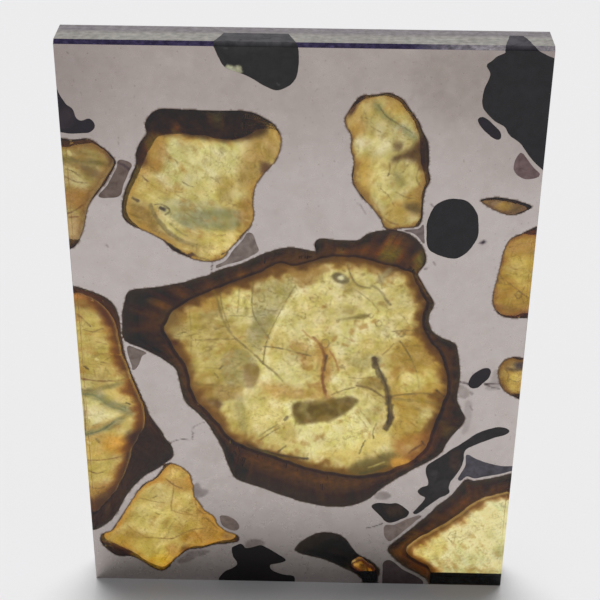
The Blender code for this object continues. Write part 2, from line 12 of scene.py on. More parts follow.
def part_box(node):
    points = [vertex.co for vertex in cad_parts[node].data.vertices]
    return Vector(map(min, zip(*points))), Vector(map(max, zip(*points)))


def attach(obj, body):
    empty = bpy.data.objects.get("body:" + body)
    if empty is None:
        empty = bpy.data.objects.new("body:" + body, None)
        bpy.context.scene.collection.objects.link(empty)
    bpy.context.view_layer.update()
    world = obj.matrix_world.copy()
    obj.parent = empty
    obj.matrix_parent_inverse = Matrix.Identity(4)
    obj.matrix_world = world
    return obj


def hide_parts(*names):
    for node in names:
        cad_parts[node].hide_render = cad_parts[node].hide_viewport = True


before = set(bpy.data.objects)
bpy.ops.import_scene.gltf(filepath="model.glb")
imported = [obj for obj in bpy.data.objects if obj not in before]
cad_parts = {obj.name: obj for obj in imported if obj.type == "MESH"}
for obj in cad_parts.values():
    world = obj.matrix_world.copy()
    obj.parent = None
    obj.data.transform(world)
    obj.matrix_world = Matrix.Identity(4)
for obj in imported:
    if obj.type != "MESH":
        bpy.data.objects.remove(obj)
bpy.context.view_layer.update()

# Camera, floor and light
# The photograph looks down on the slice from in front. Light comes mostly from behind and above, so the
# pale floor behind it shines through the clear crystals and its shadow falls towards the camera.

VIEW_DOWN = math.radians(30.468)
VIEW_YAW = math.radians(-0.758)
VIEW_ROLL = math.radians(0.584)
VIEW_DISTANCE = 0.1618
VIEW_ASIDE = -0.000064
VIEW_RAISED = 0.004712
LENS_MM = 87.0

slice_low, slice_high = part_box("nickel_iron_slice")
front_y = slice_low.y

ahead = Vector((
    math.sin(VIEW_YAW) * math.cos(VIEW_DOWN),
    math.cos(VIEW_YAW) * math.cos(VIEW_DOWN),
    -math.sin(VIEW_DOWN),
))
level_right = Vector((math.cos(VIEW_YAW), -math.sin(VIEW_YAW), 0.0))
level_up = level_right.cross(ahead)
right = math.cos(VIEW_ROLL) * level_right + math.sin(VIEW_ROLL) * level_up
up = -math.sin(VIEW_ROLL) * level_right + math.cos(VIEW_ROLL) * level_up
eye = Vector((0.0, front_y, slice_high.z / 2)) - ahead * VIEW_DISTANCE + right * VIEW_ASIDE + up * VIEW_RAISED

camera_data = bpy.data.cameras.new("camera")
camera_data.lens = LENS_MM
camera_data.clip_start = 0.01
camera = bpy.data.objects.new("camera", camera_data)
camera.matrix_world = Matrix((right, up, -ahead)).transposed().to_4x4()
camera.matrix_world.translation = eye
bpy.context.scene.collection.objects.link(camera)
bpy.context.scene.camera = camera
bpy.context.scene.view_settings.view_transform = "Standard"

bpy.ops.mesh.primitive_plane_add(size=6.0)
floor = bpy.context.object
floor.name = "floor"
paper = bpy.data.materials.new("white_paper")
paper.use_nodes = True
paper_shader = paper.node_tree.nodes["Principled BSDF"]
paper_shader.inputs["Base Color"].default_value = (0.86, 0.855, 0.86, 1.0)
paper_shader.inputs["Roughness"].default_value = 0.9
paper_shader.inputs["Specular IOR Level"].default_value = 0.1
floor.data.materials.append(paper)

sun_data = bpy.data.lights.new("window_light", "SUN")
sun_data.energy = 2.46
sun_data.angle = math.radians(15)
sun = bpy.data.objects.new("window_light", sun_data)
sun.rotation_euler = (math.radians(-8.5), 0.0, math.radians(4))
bpy.context.scene.collection.objects.link(sun)

world = bpy.data.worlds.new("room_light")
world.use_nodes = True
world.node_tree.nodes["Background"].inputs["Color"].default_value = (0.96, 0.97, 1.0, 1.0)
world.node_tree.nodes["Background"].inputs["Strength"].default_value = 0.22
bpy.context.scene.world = world

# Nickel-iron
# The metal is one body that fills the space between the grains, sawn flat and polished on its faces.
# Each grain sits in a pocket of its own outline, with its wall running from the front outline to the back.

MM = 0.001
FRONT = slice_low.y / MM
BACK = slice_high.y / MM
TOP = slice_high.z / MM
SIDE = slice_high.x / MM
CHAMFER = 0.4
IN_FACE = 1e-3  # a point closer than this lies in a face
ON_EDGE = 0.002  # and closer than this on a cut edge
NEAR_FACE = 0.01  # a painted point this close belongs to the face
STEP = 0.22  # between the points of a smoothed outline
PAST = 1.5  # how far a cutting shape stands past the slice
SEAM = 0.05  # by which each grain grows towards the neighbour it touches
BITE = 0.012  # by which a grain sits in the metal, so that no gap shows
METAL_NET = 0.2
BACK_NET = 0.5


def faces_at(bm, depth):
    """The faces that lie flat at this depth."""
    return [face for face in bm.faces if all(abs(v.co.y / MM - depth) < IN_FACE for v in face.verts)]


def face_outlines(mesh, depth):
    """Closed anticlockwise outlines of a mesh's flat face at this depth, as lists of x, z points in mm."""
    bm = bmesh.new()
    bm.from_mesh(mesh)
    bmesh.ops.remove_doubles(bm, verts=bm.verts, dist=1e-6)
    flat = faces_at(bm, depth)
    known = set(flat)
    after = {}
    for face in flat:
        for corner in face.loops:
            if not any(other in known for other in corner.edge.link_faces if other is not face):
                after[corner.vert] = corner.link_loop_next.vert
    outlines = []
    while after:
        first = next(iter(after))
        ring = [first]
        while after.get(ring[-1]) not in (None, first):
            ring.append(after.pop(ring[-1]))
        after.pop(ring[-1], None)
        points = [Vector((v.co.x / MM, v.co.z / MM)) for v in ring]
        turn = sum(a.x * b.y - b.x * a.y for a, b in zip(points, points[1:] + points[:1]))
        points = points if turn > 0 else points[::-1]
        rounded = [(round(p.x, 3), round(p.y, 3)) for p in points]
        start = rounded.index(min(rounded))
        outlines.append(points[start:] + points[:start])
    bm.free()
    return outlines


def side_of(point, top):
    """Which cut edge of the slice a point lies on, or None."""
    if abs(point.x) > SIDE - ON_EDGE:
        return "right" if point.x > 0 else "left"
    if point.y < ON_EDGE:
        return "bottom"
    return "top" if point.y > top - ON_EDGE else None


def curve_through(points, closed, counts):
    """Catmull-Rom points through these ones, with as many per stretch as counts says."""
    total = len(points)
    made = []
    for i, count in enumerate(counts):
        if closed:
            a, b, c, d = (points[(i + k) % total] for k in (-1, 0, 1, 2))
        else:
            a, b, c, d = (points[min(max(i + k, 0), total - 1)] for k in (-1, 0, 1, 2))
        for k in range(count):
            t = k / count
            made.append(0.5 * (
                2 * b + (c - a) * t + (2 * a - 5 * b + 4 * c - d) * t * t + (3 * b - a - 3 * c + d) * t ** 3
            ))
    if not closed:
        made.append(points[-1])
    return made


def evenly(points, count):
    """The open line through these points as count + 1 points at equal distances."""
    reach = [0.0]
    for a, b in zip(points, points[1:]):
        reach.append(reach[-1] + (b - a).length)
    wanted = np.linspace(0.0, reach[-1], count + 1)
    xs = np.interp(wanted, reach, [p.x for p in points])
    ys = np.interp(wanted, reach, [p.y for p in points])
    return [Vector(pair) for pair in zip(xs, ys)]


def open_runs(ring, top):
    """The stretches of an outline that lie inside the slice, each with its two end points on a cut edge."""
    edge = [side_of(p, top) for p in ring]
    total = len(ring)
    starts = [i for i in range(total) if edge[i] and not edge[(i + 1) % total]]
    runs = []
    for start in starts:
        run = [ring[start]]
        i = start + 1
        while not edge[i % total]:
            run.append(ring[i % total])
            i += 1
        run.append(ring[i % total])
        runs.append((run, edge[start], edge[i % total]))
    return runs


OUTWARD = {"left": (-1, 0), "right": (1, 0), "bottom": (0, -1), "top": (0, 1)}


def beyond(end, inner, side):
    """A point past the cut edge, on the line that leaves the slice there."""
    lead = end - inner
    outward = Vector(OUTWARD[side])
    along = lead.dot(outward)
    drift = lead - outward * along
    slope = drift / max(along, 0.5 * lead.length)
    return end + outward * PAST + slope * PAST


def corner_beyond(sides):
    """A point past the corner of the slice where these two cut edges meet."""
    x = SIDE + PAST if "right" in sides else -SIDE - PAST
    return Vector((x, TOP + PAST if "top" in sides else -PAST))


def moved_out(ring, distance, window=1):
    """The outline moved outwards, square to its run between the points this many places before and after."""
    total = len(ring)
    moved = []
    for i in range(total):
        along = (ring[(i + window) % total] - ring[i - window]).normalized()
        moved.append(ring[i] + Vector((along.y, -along.x)) * distance)
    return moved


COARSE_LUMP = 1.4
FINE_LUMP = 0.5
FINE_SHARE = 0.4
DEPTH_SHARE = 0.6
noise.seed_set(7)


def natural(ring, depth, size):
    """The outline with the small irregular steps of a grown grain."""
    made = []
    for p in ring:
        place = Vector((p.x, depth * DEPTH_SHARE, p.y))
        coarse = noise.noise_vector(place / COARSE_LUMP)
        fine = noise.noise_vector(place / FINE_LUMP + Vector((7.0, 3.0, 5.0)))
        shift = coarse * size + fine * size * FINE_SHARE
        made.append(p + Vector((shift.x, shift.z)))
    return made


GENERAL_RUN = 6  # points on either side that show an outline's general run
WIDER_BEHIND = {  # how much farther a grain opens towards the back, so that no dark border shows
    "olivine_upper_left": 0.7,
    "olivine_upper_middle": 0.6,
    "olivine_left_upper": 0.4,
    "olivine_bottom_left": 0.6,
    "olivine_right_edge": 0.5,
    "olivine_right_small": 0.3,
    "olivine_lens": 0.2,
}


def grain_outlines(node):
    """A grain's smooth front and end outlines with equal numbers of points, and the depth where it ends."""
    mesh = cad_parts[node].data
    end = max(v.co.y for v in mesh.vertices) / MM
    front = max(face_outlines(mesh, FRONT), key=len)
    back = max(face_outlines(mesh, end), key=len)
    front_runs = open_runs(front, TOP - CHAMFER)
    if not front_runs:
        total = len(front)
        apart = [sum((front[i] - back[(i + s) % total]).length for i in range(total)) for s in range(total)]
        shift = apart.index(min(apart))
        back = back[shift:] + back[:shift]
        counts = [max(1, round((front[(i + 1) % total] - front[i]).length / STEP)) for i in range(total)]
        rings = [curve_through(front, True, counts), curve_through(back, True, counts)]
    else:
        back_runs = open_runs(back, TOP)
        rings = [[], []]
        for k, (run, enters, leaves) in enumerate(front_runs):
            partner = min(back_runs, key=lambda other: (other[0][0] - run[0]).length)
            length = sum((b - a).length for a, b in zip(run, run[1:]))
            count = max(4, round(length / STEP))
            for ring, line in zip(rings, (run, partner[0])):
                smooth = evenly(curve_through(line, False, [6] * (len(line) - 1)), count)
                ring.append(beyond(line[0], line[1], enters))
                ring.extend(smooth)
                ring.append(beyond(line[-1], line[-2], leaves))
                follower = front_runs[(k + 1) % len(front_runs)][1]
                if follower != leaves:
                    ring.append(corner_beyond((leaves, follower)))
    front_ring = moved_out(rings[0], SEAM)
    end_ring = moved_out(moved_out(rings[1], SEAM), WIDER_BEHIND.get(node, 0.0), GENERAL_RUN)
    return front_ring, end_ring, end


WALL_STOPS = (0.0, 0.35, 0.7, 1.0)
FRONT_ROUGHNESS = 0.07
ADDED_BEHIND = 0.09


def wall_sections(front, back, end, growth):
    """The outlines of a grain from the front face to its end, with an uneven wall between them."""
    sections = []
    for share in WALL_STOPS:
        depth = FRONT + (end - FRONT) * share
        ring = [a.lerp(b, share) for a, b in zip(front, back)]
        uneven = FRONT_ROUGHNESS + ADDED_BEHIND * share
        sections.append((depth, moved_out(natural(ring, depth, uneven), growth)))
    return sections


def run_past(sections, through):
    """The same outlines carried on past the front face, and past the back for a grain that goes through."""
    longer = [(FRONT - PAST, sections[0][1])] + sections
    return longer + [(BACK + PAST, sections[-1][1])] if through else longer


def shell_object(bm, name):
    """A closed shell as an object of the scene, with its faces pointing outwards."""
    bmesh.ops.recalc_face_normals(bm, faces=bm.faces)
    mesh = bpy.data.meshes.new(name)
    bm.to_mesh(mesh)
    bm.free()
    made = bpy.data.objects.new(name, mesh)
    bpy.context.scene.collection.objects.link(made)
    return made


def lofted(name, sections):
    """A closed mesh through outlines of equal length, in metres."""
    bm = bmesh.new()
    rings = [[bm.verts.new((p.x * MM, depth * MM, p.y * MM)) for p in ring] for depth, ring in sections]
    total = len(rings[0])
    for near, far in zip(rings, rings[1:]):
        for i in range(total):
            bm.faces.new((near[i], near[(i + 1) % total], far[(i + 1) % total], far[i]))
    bm.faces.new(rings[0])
    bm.faces.new(rings[-1][::-1])
    bm.normal_update()
    bmesh.ops.triangulate(bm, faces=[face for face in bm.faces if len(face.verts) > 4])
    return shell_object(bm, name)


def block():
    """The sawn slice as a plain block with its chamfered top front edge."""
    bm = bmesh.new()
    outline = [(FRONT, 0.0), (BACK, 0.0), (BACK, TOP), (FRONT + CHAMFER, TOP), (FRONT, TOP - CHAMFER)]
    ends = [[bm.verts.new((x * MM, y * MM, z * MM)) for y, z in outline] for x in (-SIDE, SIDE)]
    for i in range(len(outline)):
        j = (i + 1) % len(outline)
        bm.faces.new((ends[0][i], ends[0][j], ends[1][j], ends[1][i]))
    bm.faces.new(ends[0])
    bm.faces.new(ends[1][::-1])
    return shell_object(bm, "block")


def combined(target, operation, other):
    """The plain mesh left by one Boolean; the other object is removed."""
    modifier = target.modifiers.new(operation, "BOOLEAN")
    modifier.operation = operation
    modifier.solver = "EXACT"
    modifier.use_self = True
    modifier.object = other
    graph = bpy.context.evaluated_depsgraph_get()
    mesh = bpy.data.meshes.new_from_object(target.evaluated_get(graph))
    target.modifiers.clear()
    target.data = mesh
    bpy.data.objects.remove(other)


BATCH = 2000


def inside(points, segments):
    """Which points lie inside closed outlines given as an array of x1, z1, x2, z2 rows."""
    x1, z1, x2, z2 = segments.T
    found = np.zeros(len(points), bool)
    for start in range(0, len(points), BATCH):
        x = points[start:start + BATCH, 0][:, None]
        z = points[start:start + BATCH, 1][:, None]
        crosses = (z1 > z) != (z2 > z)
        at = x1 + (z - z1) * (x2 - x1) / np.where(z2 == z1, 1e-12, z2 - z1)
        found[start:start + BATCH] = ((crosses & (x < at)).sum(1) % 2).astype(bool)
    return found


ROW_GAP = 0.866
RIM_CLEARANCE = 0.55


def fill_flat(made, depth, spacing):
    """Gives the flat face at this depth an even, fine net of triangles, which can hold painted colour."""
    bm = bmesh.new()
    bm.from_mesh(made.data)
    bmesh.ops.remove_doubles(bm, verts=bm.verts, dist=1e-7)
    flat = faces_at(bm, depth)
    normal_y = sum(face.normal.y for face in flat)
    bmesh.ops.delete(bm, geom=flat, context="FACES_ONLY")
    bare = [edge for edge in bm.edges if not edge.link_faces]
    bmesh.ops.delete(bm, geom=bare, context="EDGES_FACES")
    rim = [edge for edge in bm.edges if edge.is_boundary]
    verts = list(dict.fromkeys(v for edge in rim for v in edge.verts))
    index = {v: i for i, v in enumerate(verts)}
    flat_points = [(v.co.x / MM, v.co.z / MM) for v in verts]
    pairs = [(index[edge.verts[0]], index[edge.verts[1]]) for edge in rim]
    segments = np.array([flat_points[a] + flat_points[b] for a, b in pairs])
    tree = kdtree.KDTree(len(flat_points))
    for i, (x, z) in enumerate(flat_points):
        tree.insert((x, z, 0.0), i)
    tree.balance()
    low = np.array(flat_points).min(0)
    high = np.array(flat_points).max(0)
    rows = np.arange(low[1] + spacing / 2, high[1], spacing * ROW_GAP)
    grid = [
        (x + (0.5 * spacing if k % 2 else 0.0), z)
        for k, z in enumerate(rows)
        for x in np.arange(low[0] + spacing / 4, high[0], spacing)
    ]
    grid = [p for p in grid if tree.find((p[0], p[1], 0.0))[2] > RIM_CLEARANCE * spacing]
    grid = np.array(grid)[inside(np.array(grid), segments)]
    every = [Vector(p) for p in flat_points] + [Vector(p) for p in grid]
    out_points, _, out_faces, sources, _, _ = delaunay_2d_cdt(every, pairs, [], 0, 1e-7)
    corner = np.array([tuple(p) for p in out_points])
    triangles = np.array(out_faces)
    keep = inside(corner[triangles].mean(1), segments)
    made_verts = []
    for place, source in zip(out_points, sources):
        known = [i for i in source if i < len(verts)]
        if known:
            made_verts.append(verts[known[0]])
        else:
            made_verts.append(bm.verts.new((place.x * MM, depth * MM, place.y * MM)))
    for triangle in triangles[keep]:
        corners = [made_verts[i] for i in triangle]
        if len(set(corners)) < 3 or bm.faces.get(corners):
            continue
        face = bm.faces.new(corners)
        face.normal_update()
        if face.normal.y * normal_y < 0:
            face.normal_flip()
    bm.to_mesh(made.data)
    bm.free()


def places_of(made):
    """The points of a mesh in mm, one x, y, z row each."""
    places = np.empty(len(made.data.vertices) * 3, np.float32)
    made.data.vertices.foreach_get("co", places)
    return places.reshape(-1, 3).astype(float) / MM


def painted(made, colours):
    """Stores one colour for every point of a mesh."""
    attributes = made.data.attributes
    attribute = attributes.get("paint") or attributes.new("paint", "FLOAT_VECTOR", "POINT")
    attribute.data.foreach_set("vector", np.clip(colours, 0.0, 1.0).astype(np.float32).ravel())


def to_line(flat, line, closed=False):
    """The distance in mm from each x, z place to a line through points."""
    points = np.array([tuple(p) for p in line], float)
    starts, ends = (points, np.roll(points, -1, 0)) if closed else (points[:-1], points[1:])
    nearest = np.full(len(flat), 1e9)
    for a, b in zip(starts, ends):
        along = b - a
        share = np.clip(((flat - a) @ along) / max(along @ along, 1e-12), 0, 1)
        nearest = np.minimum(nearest, np.hypot(*(flat - a - share[:, None] * along).T))
    return nearest


def within(flat, ring):
    """The distance in mm from each x, z place to a closed outline, positive inside it."""
    segments = np.array([(a[0], a[1], b[0], b[1]) for a, b in zip(ring, ring[1:] + ring[:1])])
    away = to_line(flat, ring, True)
    return np.where(inside(flat, segments), away, -away)


def fade(value, start, end):
    """0 up to start, 1 from end, with a smooth rise between them."""
    share = np.clip((value - start) / (end - start), 0, 1)
    return share * share * (3 - 2 * share)


def wander(flat, size, seed):
    """Natural unevenness from about -1 to 1, with lumps of this size in mm."""
    level = seed * 7.31
    return np.array([
        1.3 * noise.noise(Vector((x / size, level, z / size)))
        + 0.6 * noise.noise(Vector((x * 2.3 / size, level + 9.0, z * 2.3 / size)))
        for x, z in flat.tolist()
    ])


def blend(look, colour, share):
    """Mixes a colour in, as far as share says for each place."""
    look += (np.array(colour, float) - look) * share[:, None]


def near_to(flat, points, margin):
    """Which places lie in the box round these points, widened by a margin."""
    low = np.min([tuple(p) for p in points], 0) - margin
    high = np.max([tuple(p) for p in points], 0) + margin
    return np.flatnonzero(((flat > low) & (flat < high)).all(1))


def patch(look, flat, colour, softness, strength, points):
    """Paints a patch with a soft, uneven border."""
    ring = curve_through([Vector(p) for p in points], True, [3] * len(points))
    chosen = near_to(flat, ring, softness + 0.4)
    if len(chosen):
        here = flat[chosen]
        uneven = (0.04 + 0.4 * softness) * wander(here, 0.9, len(points)) + 0.05 * wander(here, 0.3, 2)
        depth = within(here, ring) + uneven
        part = look[chosen]
        thin = np.clip(0.88 + 0.25 * wander(here, 1.1, 3), 0, 1)
        blend(part, colour, strength * thin * fade(depth, -softness - 0.08, softness + 0.08))
        look[chosen] = part


def streak(look, flat, colour, width, strength, points):
    """Paints a line of uneven width and strength."""
    line = curve_through([Vector(p) for p in points], False, [4] * (len(points) - 1))
    chosen = near_to(flat, line, width + 0.3)
    if len(chosen):
        here = flat[chosen]
        half = 0.32 * width * (1 + 0.6 * wander(here, 0.6, len(points)))
        part = look[chosen]
        away = to_line(here, line) + 0.04 * wander(here, 0.35, 7)
        share = 1 - fade(away, half - 0.05, half + 0.05 + 0.25 * width)
        blend(part, colour, strength * share * np.clip(0.85 + 0.45 * wander(here, 1.6, 5), 0.35, 1))
        look[chosen] = part


def linear(look):
    """Colours from 0 to 255 as a screen shows them, as amounts of light."""
    return (np.clip(look, 0, 255) / 255) ** 2.2


def new_material(name, metallic=0.0):
    """A material that uses nodes, with its tree and its main shader."""
    material = bpy.data.materials.new(name)
    material.use_nodes = True
    shader = material.node_tree.nodes["Principled BSDF"]
    shader.inputs["Metallic"].default_value = metallic
    return material, material.node_tree, shader


def own_place(tree):
    """Where a point lies on the piece's own coordinates."""
    return tree.nodes.new("ShaderNodeTexCoord").outputs["Object"]


def noise_at(tree, place, scale, detail, distortion=0.0):
    """The noise texture at these coordinates."""
    lumps = tree.nodes.new("ShaderNodeTexNoise")
    lumps.inputs["Scale"].default_value = scale
    lumps.inputs["Detail"].default_value = detail
    lumps.inputs["Distortion"].default_value = distortion
    tree.links.new(place, lumps.inputs["Vector"])
    return lumps


def object_noise(tree, scale, detail=4.0, distortion=0.0):
    """Noise on the piece's own coordinates, as a value from 0 to 1."""
    return noise_at(tree, own_place(tree), scale, detail, distortion).outputs["Fac"]


def distance_along(tree, axis):
    """How far along this axis a point lies, in metres."""
    split = tree.nodes.new("ShaderNodeSeparateXYZ")
    tree.links.new(own_place(tree), split.inputs["Vector"])
    return split.outputs[axis]


def ranged(tree, value, start, end, low, high):
    """The value stretched from start..end to low..high, and held there."""
    stretch = tree.nodes.new("ShaderNodeMapRange")
    for socket, number in zip(("From Min", "From Max", "To Min", "To Max"), (start, end, low, high)):
        stretch.inputs[socket].default_value = number
    tree.links.new(value, stretch.inputs["Value"])
    return stretch.outputs["Result"]


def times(tree, colour, share, tint):
    """The colour multiplied by a tint, as far as share says."""
    mix = tree.nodes.new("ShaderNodeMix")
    mix.data_type = "RGBA"
    mix.blend_type = "MULTIPLY"
    mix.inputs[7].default_value = (*tint, 1.0)
    tree.links.new(share, mix.inputs[0])
    if isinstance(colour, tuple):
        mix.inputs[6].default_value = (*colour, 1.0)
    else:
        tree.links.new(colour, mix.inputs[6])
    return mix.outputs[2]


def paint_of(tree):
    """The colour that is painted on the mesh."""
    brush = tree.nodes.new("ShaderNodeAttribute")
    brush.attribute_name = "paint"
    return brush.outputs["Color"]


def rough_and_bumpy(tree, scale, low, high, depth):
    """Gives the shader an uneven roughness and a fine relief of this depth in metres."""
    shader = tree.nodes["Principled BSDF"]
    tree.links.new(ranged(tree, object_noise(tree, scale), 0.3, 0.7, low, high), shader.inputs["Roughness"])
    bump = tree.nodes.new("ShaderNodeBump")
    bump.inputs["Strength"].default_value = 0.5
    bump.inputs["Distance"].default_value = depth
    tree.links.new(object_noise(tree, scale * 2.0, 6.0), bump.inputs["Height"])
    tree.links.new(bump.outputs["Normal"], shader.inputs["Normal"])


grain_names = sorted(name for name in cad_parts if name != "nickel_iron_slice")
walls = {}
pockets = []
for name in grain_names:
    front, back, end = grain_outlines(name)
    through = end > BACK - NEAR_FACE
    walls[name] = wall_sections(front, back, end, 0.0), through
    tight = wall_sections(front, back, end if through else end - BITE, -BITE)
    pockets.append(lofted(f"{name}_pocket", run_past(tight, through)))

metal = block()
metal.name = "polished_nickel_iron"
bpy.ops.object.select_all(action="DESELECT")
for pocket in pockets:
    pocket.select_set(True)
bpy.context.view_layer.objects.active = pockets[0]
bpy.ops.object.join()
combined(metal, "DIFFERENCE", pockets[0])
fill_flat(metal, FRONT, METAL_NET)
fill_flat(metal, BACK, BACK_NET)
POLISHED, POCKET, SAWN, BEVEL = range(4)
for face in metal.data.polygons:
    centre = face.center / MM
    if min(abs(centre.y - FRONT), abs(centre.y - BACK)) < IN_FACE:
        face.material_index = POLISHED
    elif abs((centre.z - TOP) - (centre.y - FRONT - CHAMFER)) < IN_FACE:
        face.material_index = BEVEL
    elif abs(centre.x) > SIDE - IN_FACE or centre.z < IN_FACE or centre.z > TOP - IN_FACE:
        face.material_index = SAWN
    else:
        face.material_index = POCKET

PLAIN_METAL = (178, 170, 166)
SHADED_TOP_METAL = (160, 150, 145)
METAL_LIGHT = 0.80
SMUDGE = (158, 148, 143)
GREY_CRUST = (134, 124, 120)
CRACK = (74, 68, 66)
METAL_PATCHES = [
    (GREY_CRUST, 0.08, 0.8, [(-14.9, 2.9), (-14.3, 2.6), (-13.3, 3), (-12.5, 3.7), (-11.6, 3.9),
        (-10.8, 4.7), (-11.8, 4.75), (-13.2, 4.55), (-14, 3.9)]),
    ((120, 112, 110), 0.12, 0.8, [(-13, 12.8), (-11.6, 13), (-10.7, 13.9), (-11.6, 14.3), (-12, 15),
        (-12.9, 14.2)]),
    ((128, 120, 116), 0.08, 0.8, [(9, 13.3), (10, 13), (11, 13.5), (10.6, 14.1), (9.4, 14.2)]),
    ((116, 106, 102), 0.12, 0.7, [(-6.5, 5.3), (-5.2, 5), (-4.1, 5.8), (-4.6, 6.5), (-6, 6.6)]),
    ((140, 131, 127), 0.06, 0.85, [(18, 29.6), (18.9, 29.3), (19.3, 28.6), (18.9, 27.8), (18.1, 28)]),
    ((150, 142, 138), 0.1, 0.7, [(18.9, 27.4), (19.6, 27.2), (19.7, 25.2), (19.4, 23.4), (18.8, 22.9),
        (18.8, 24.6)]),
    ((146, 138, 134), 0.06, 0.8, [(21, 29.2), (22.6, 29.2), (22.9, 31.4), (21.9, 31.8), (21.6, 30.4)]),
    # Painted shade: a broad, soft darker patch at the upper right.
    ((146, 136, 130), 1.5, 0.75, [(11.5, 69), (19.5, 69), (19.5, 62.5), (13, 63)]),
    (SMUDGE, 1.0, 0.35, [(2, 67.3), (5, 67.4), (5.4, 65.8), (2.4, 65.6)]),
    (SMUDGE, 1.2, 0.35, [(-14, 66.4), (-11, 66), (-10.6, 64.8), (-13.6, 64.9)]),
    (SMUDGE, 1.0, 0.3, [(14.4, 63.4), (17.4, 63.6), (17.6, 61.6), (14.6, 61.4)]),
]
METAL_STREAKS = [
    (CRACK, 0.1, 0.85, [(-15, 20.9), (-14.4, 21.2), (-13.6, 21.4), (-12.9, 21.3), (-12.5, 21.4),
        (-12.4, 22.2)]),
    (CRACK, 0.12, 0.9, [(-12.4, 22.2), (-12.5, 22.8), (-12.1, 23.3), (-11.6, 23.6), (-11, 23.9)]),
    ((52, 44, 44), 0.12, 0.95, [(-9.6, 45), (-9.7, 44.4), (-9.8, 43.5)]),
    ((40, 34, 34), 0.14, 0.95, [(8.2, 8.7), (9, 8.9), (10, 9.4)]),
    ((58, 48, 52), 0.28, 0.95, [(17.9, 30.05), (18.5, 29.95), (19.1, 29.8)]),
    ((60, 52, 52), 0.12, 0.9, [(20.9, 29.9), (22.7, 29.95)]),
    ((60, 52, 52), 0.18, 0.9, [(21, 29.8), (21.8, 29.4), (22.6, 29.2)]),
    ((62, 54, 62), 0.5, 0.95, [(19.3, 47.95), (19.4, 48.05)]),
    ((84, 76, 78), 0.22, 0.7, [(13.5, 52.5), (14, 52.1)]),
    ((84, 76, 78), 0.2, 0.7, [(13.3, 44.6), (13.6, 44.7)]),
    ((110, 100, 104), 0.2, 0.7, [(14.2, 45.5), (14.4, 45.2)]),
    ((92, 84, 84), 0.25, 0.7, [(19.4, 28.7), (19.6, 28.4)]),
    ((120, 110, 110), 0.2, 0.7, [(19.5, 26.8), (19.7, 26.3)]),
    ((104, 94, 96), 0.25, 0.7, [(-21, 46.9), (-20.8, 46.7)]),
    ((110, 100, 100), 0.15, 0.6, [(5.8, 52.5), (6.3, 52), (6.8, 51.2)]),
]


def metal_look(flat):
    """The polished face: clouded and marked, and lightest in the middle, with painted shade towards the top
    and in the upper corners.
    """
    look = np.tile(np.array(PLAIN_METAL, float), (len(flat), 1))
    # Painted shade: the face darkens from about 50 mm up to 68 mm.
    blend(look, SHADED_TOP_METAL, 0.9 * fade(flat[:, 1] + 3 * wander(flat, 14.0, 3), 50.0, 68.0))
    blend(look, SMUDGE, 0.25 * fade(wander(flat, 3.4, 8), 0.2, 1.0))
    blend(look, (184, 176, 172), 0.2 * fade(wander(flat, 4.1, 2), 0.2, 1.0))
    # Painted shade: the two upper corners are darker still.
    corner = fade(np.abs(flat[:, 0]), 14.0, 25.0) * fade(flat[:, 1], 52.0, 69.0)
    blend(look, (138, 128, 124), 0.6 * corner)
    for row in METAL_PATCHES:
        patch(look, flat, *row)
    for row in METAL_STREAKS:
        streak(look, flat, *row)
    return look


metal_places = places_of(metal)
metal_paint = np.zeros((len(metal_places), 3))
is_front = metal_places[:, 1] < FRONT + NEAR_FACE
metal_paint[is_front] = linear(metal_look(metal_places[is_front][:, [0, 2]])) / METAL_LIGHT
plain_look = np.array(PLAIN_METAL, float) + 14 * wander(metal_places[~is_front][:, [0, 2]], 3.0, 6)[:, None]
metal_paint[~is_front] = linear(plain_look) / METAL_LIGHT
painted(metal, metal_paint)

steel, tree, shader = new_material("polished_nickel_iron", 1.0)
clouds = ranged(tree, object_noise(tree, 500.0, 7.0, 0.5), 0.42, 0.75, 0.0, 0.3)
colour = times(tree, paint_of(tree), clouds, (0.82, 0.78, 0.77))
specks = ranged(tree, object_noise(tree, 2600.0, 3.0), 0.66, 0.74, 0.0, 0.5)
tree.links.new(times(tree, colour, specks, (0.55, 0.5, 0.5)), shader.inputs["Base Color"])
rough_and_bumpy(tree, 1500.0, 0.25, 0.36, 0.00002)
metal.data.materials.append(steel)

# The pockets' walls carry painted colour: stains, and painted shade that darkens them towards the front.
pocket_wall, tree, shader = new_material("stained_and_shaded_pocket_wall")
crumbs = ranged(tree, object_noise(tree, 1800.0, 5.0, 0.5), 0.35, 0.65, 0.0, 0.6)
tree.links.new(times(tree, paint_of(tree), crumbs, (0.45, 0.40, 0.36)), shader.inputs["Base Color"])
rough_and_bumpy(tree, 2000.0, 0.5, 0.8, 0.00006)
metal.data.materials.append(pocket_wall)

ground_edge, tree, shader = new_material("ground_edge", 1.0)
lengthwise = tree.nodes.new("ShaderNodeMapping")
lengthwise.inputs["Scale"].default_value = (60.0, 5000.0, 5000.0)
tree.links.new(own_place(tree), lengthwise.inputs["Vector"])
grind = noise_at(tree, lengthwise.outputs["Vector"], 1.0, 3.0)
lines = ranged(tree, grind.outputs["Fac"], 0.4, 0.65, 0.0, 0.6)
colour = times(tree, (0.62, 0.60, 0.55), lines, (0.80, 0.78, 0.78))
blotches = ranged(tree, object_noise(tree, 350.0, 5.0), 0.45, 0.7, 0.0, 0.5)
colour = times(tree, colour, blotches, (0.82, 0.80, 0.82))
# Painted shade: behind the slice's middle the cut faces turn darker and lilac, so the top face stays lighter
# along its front half.
back_shade_share = ranged(tree, distance_along(tree, "Y"), 0.0000, 0.0009, 0.0, 1.0)
tree.links.new(times(tree, colour, back_shade_share, (0.76, 0.73, 0.82)), shader.inputs["Base Color"])
rough_and_bumpy(tree, 1500.0, 0.42, 0.55, 0.00004)
metal.data.materials.append(ground_edge)

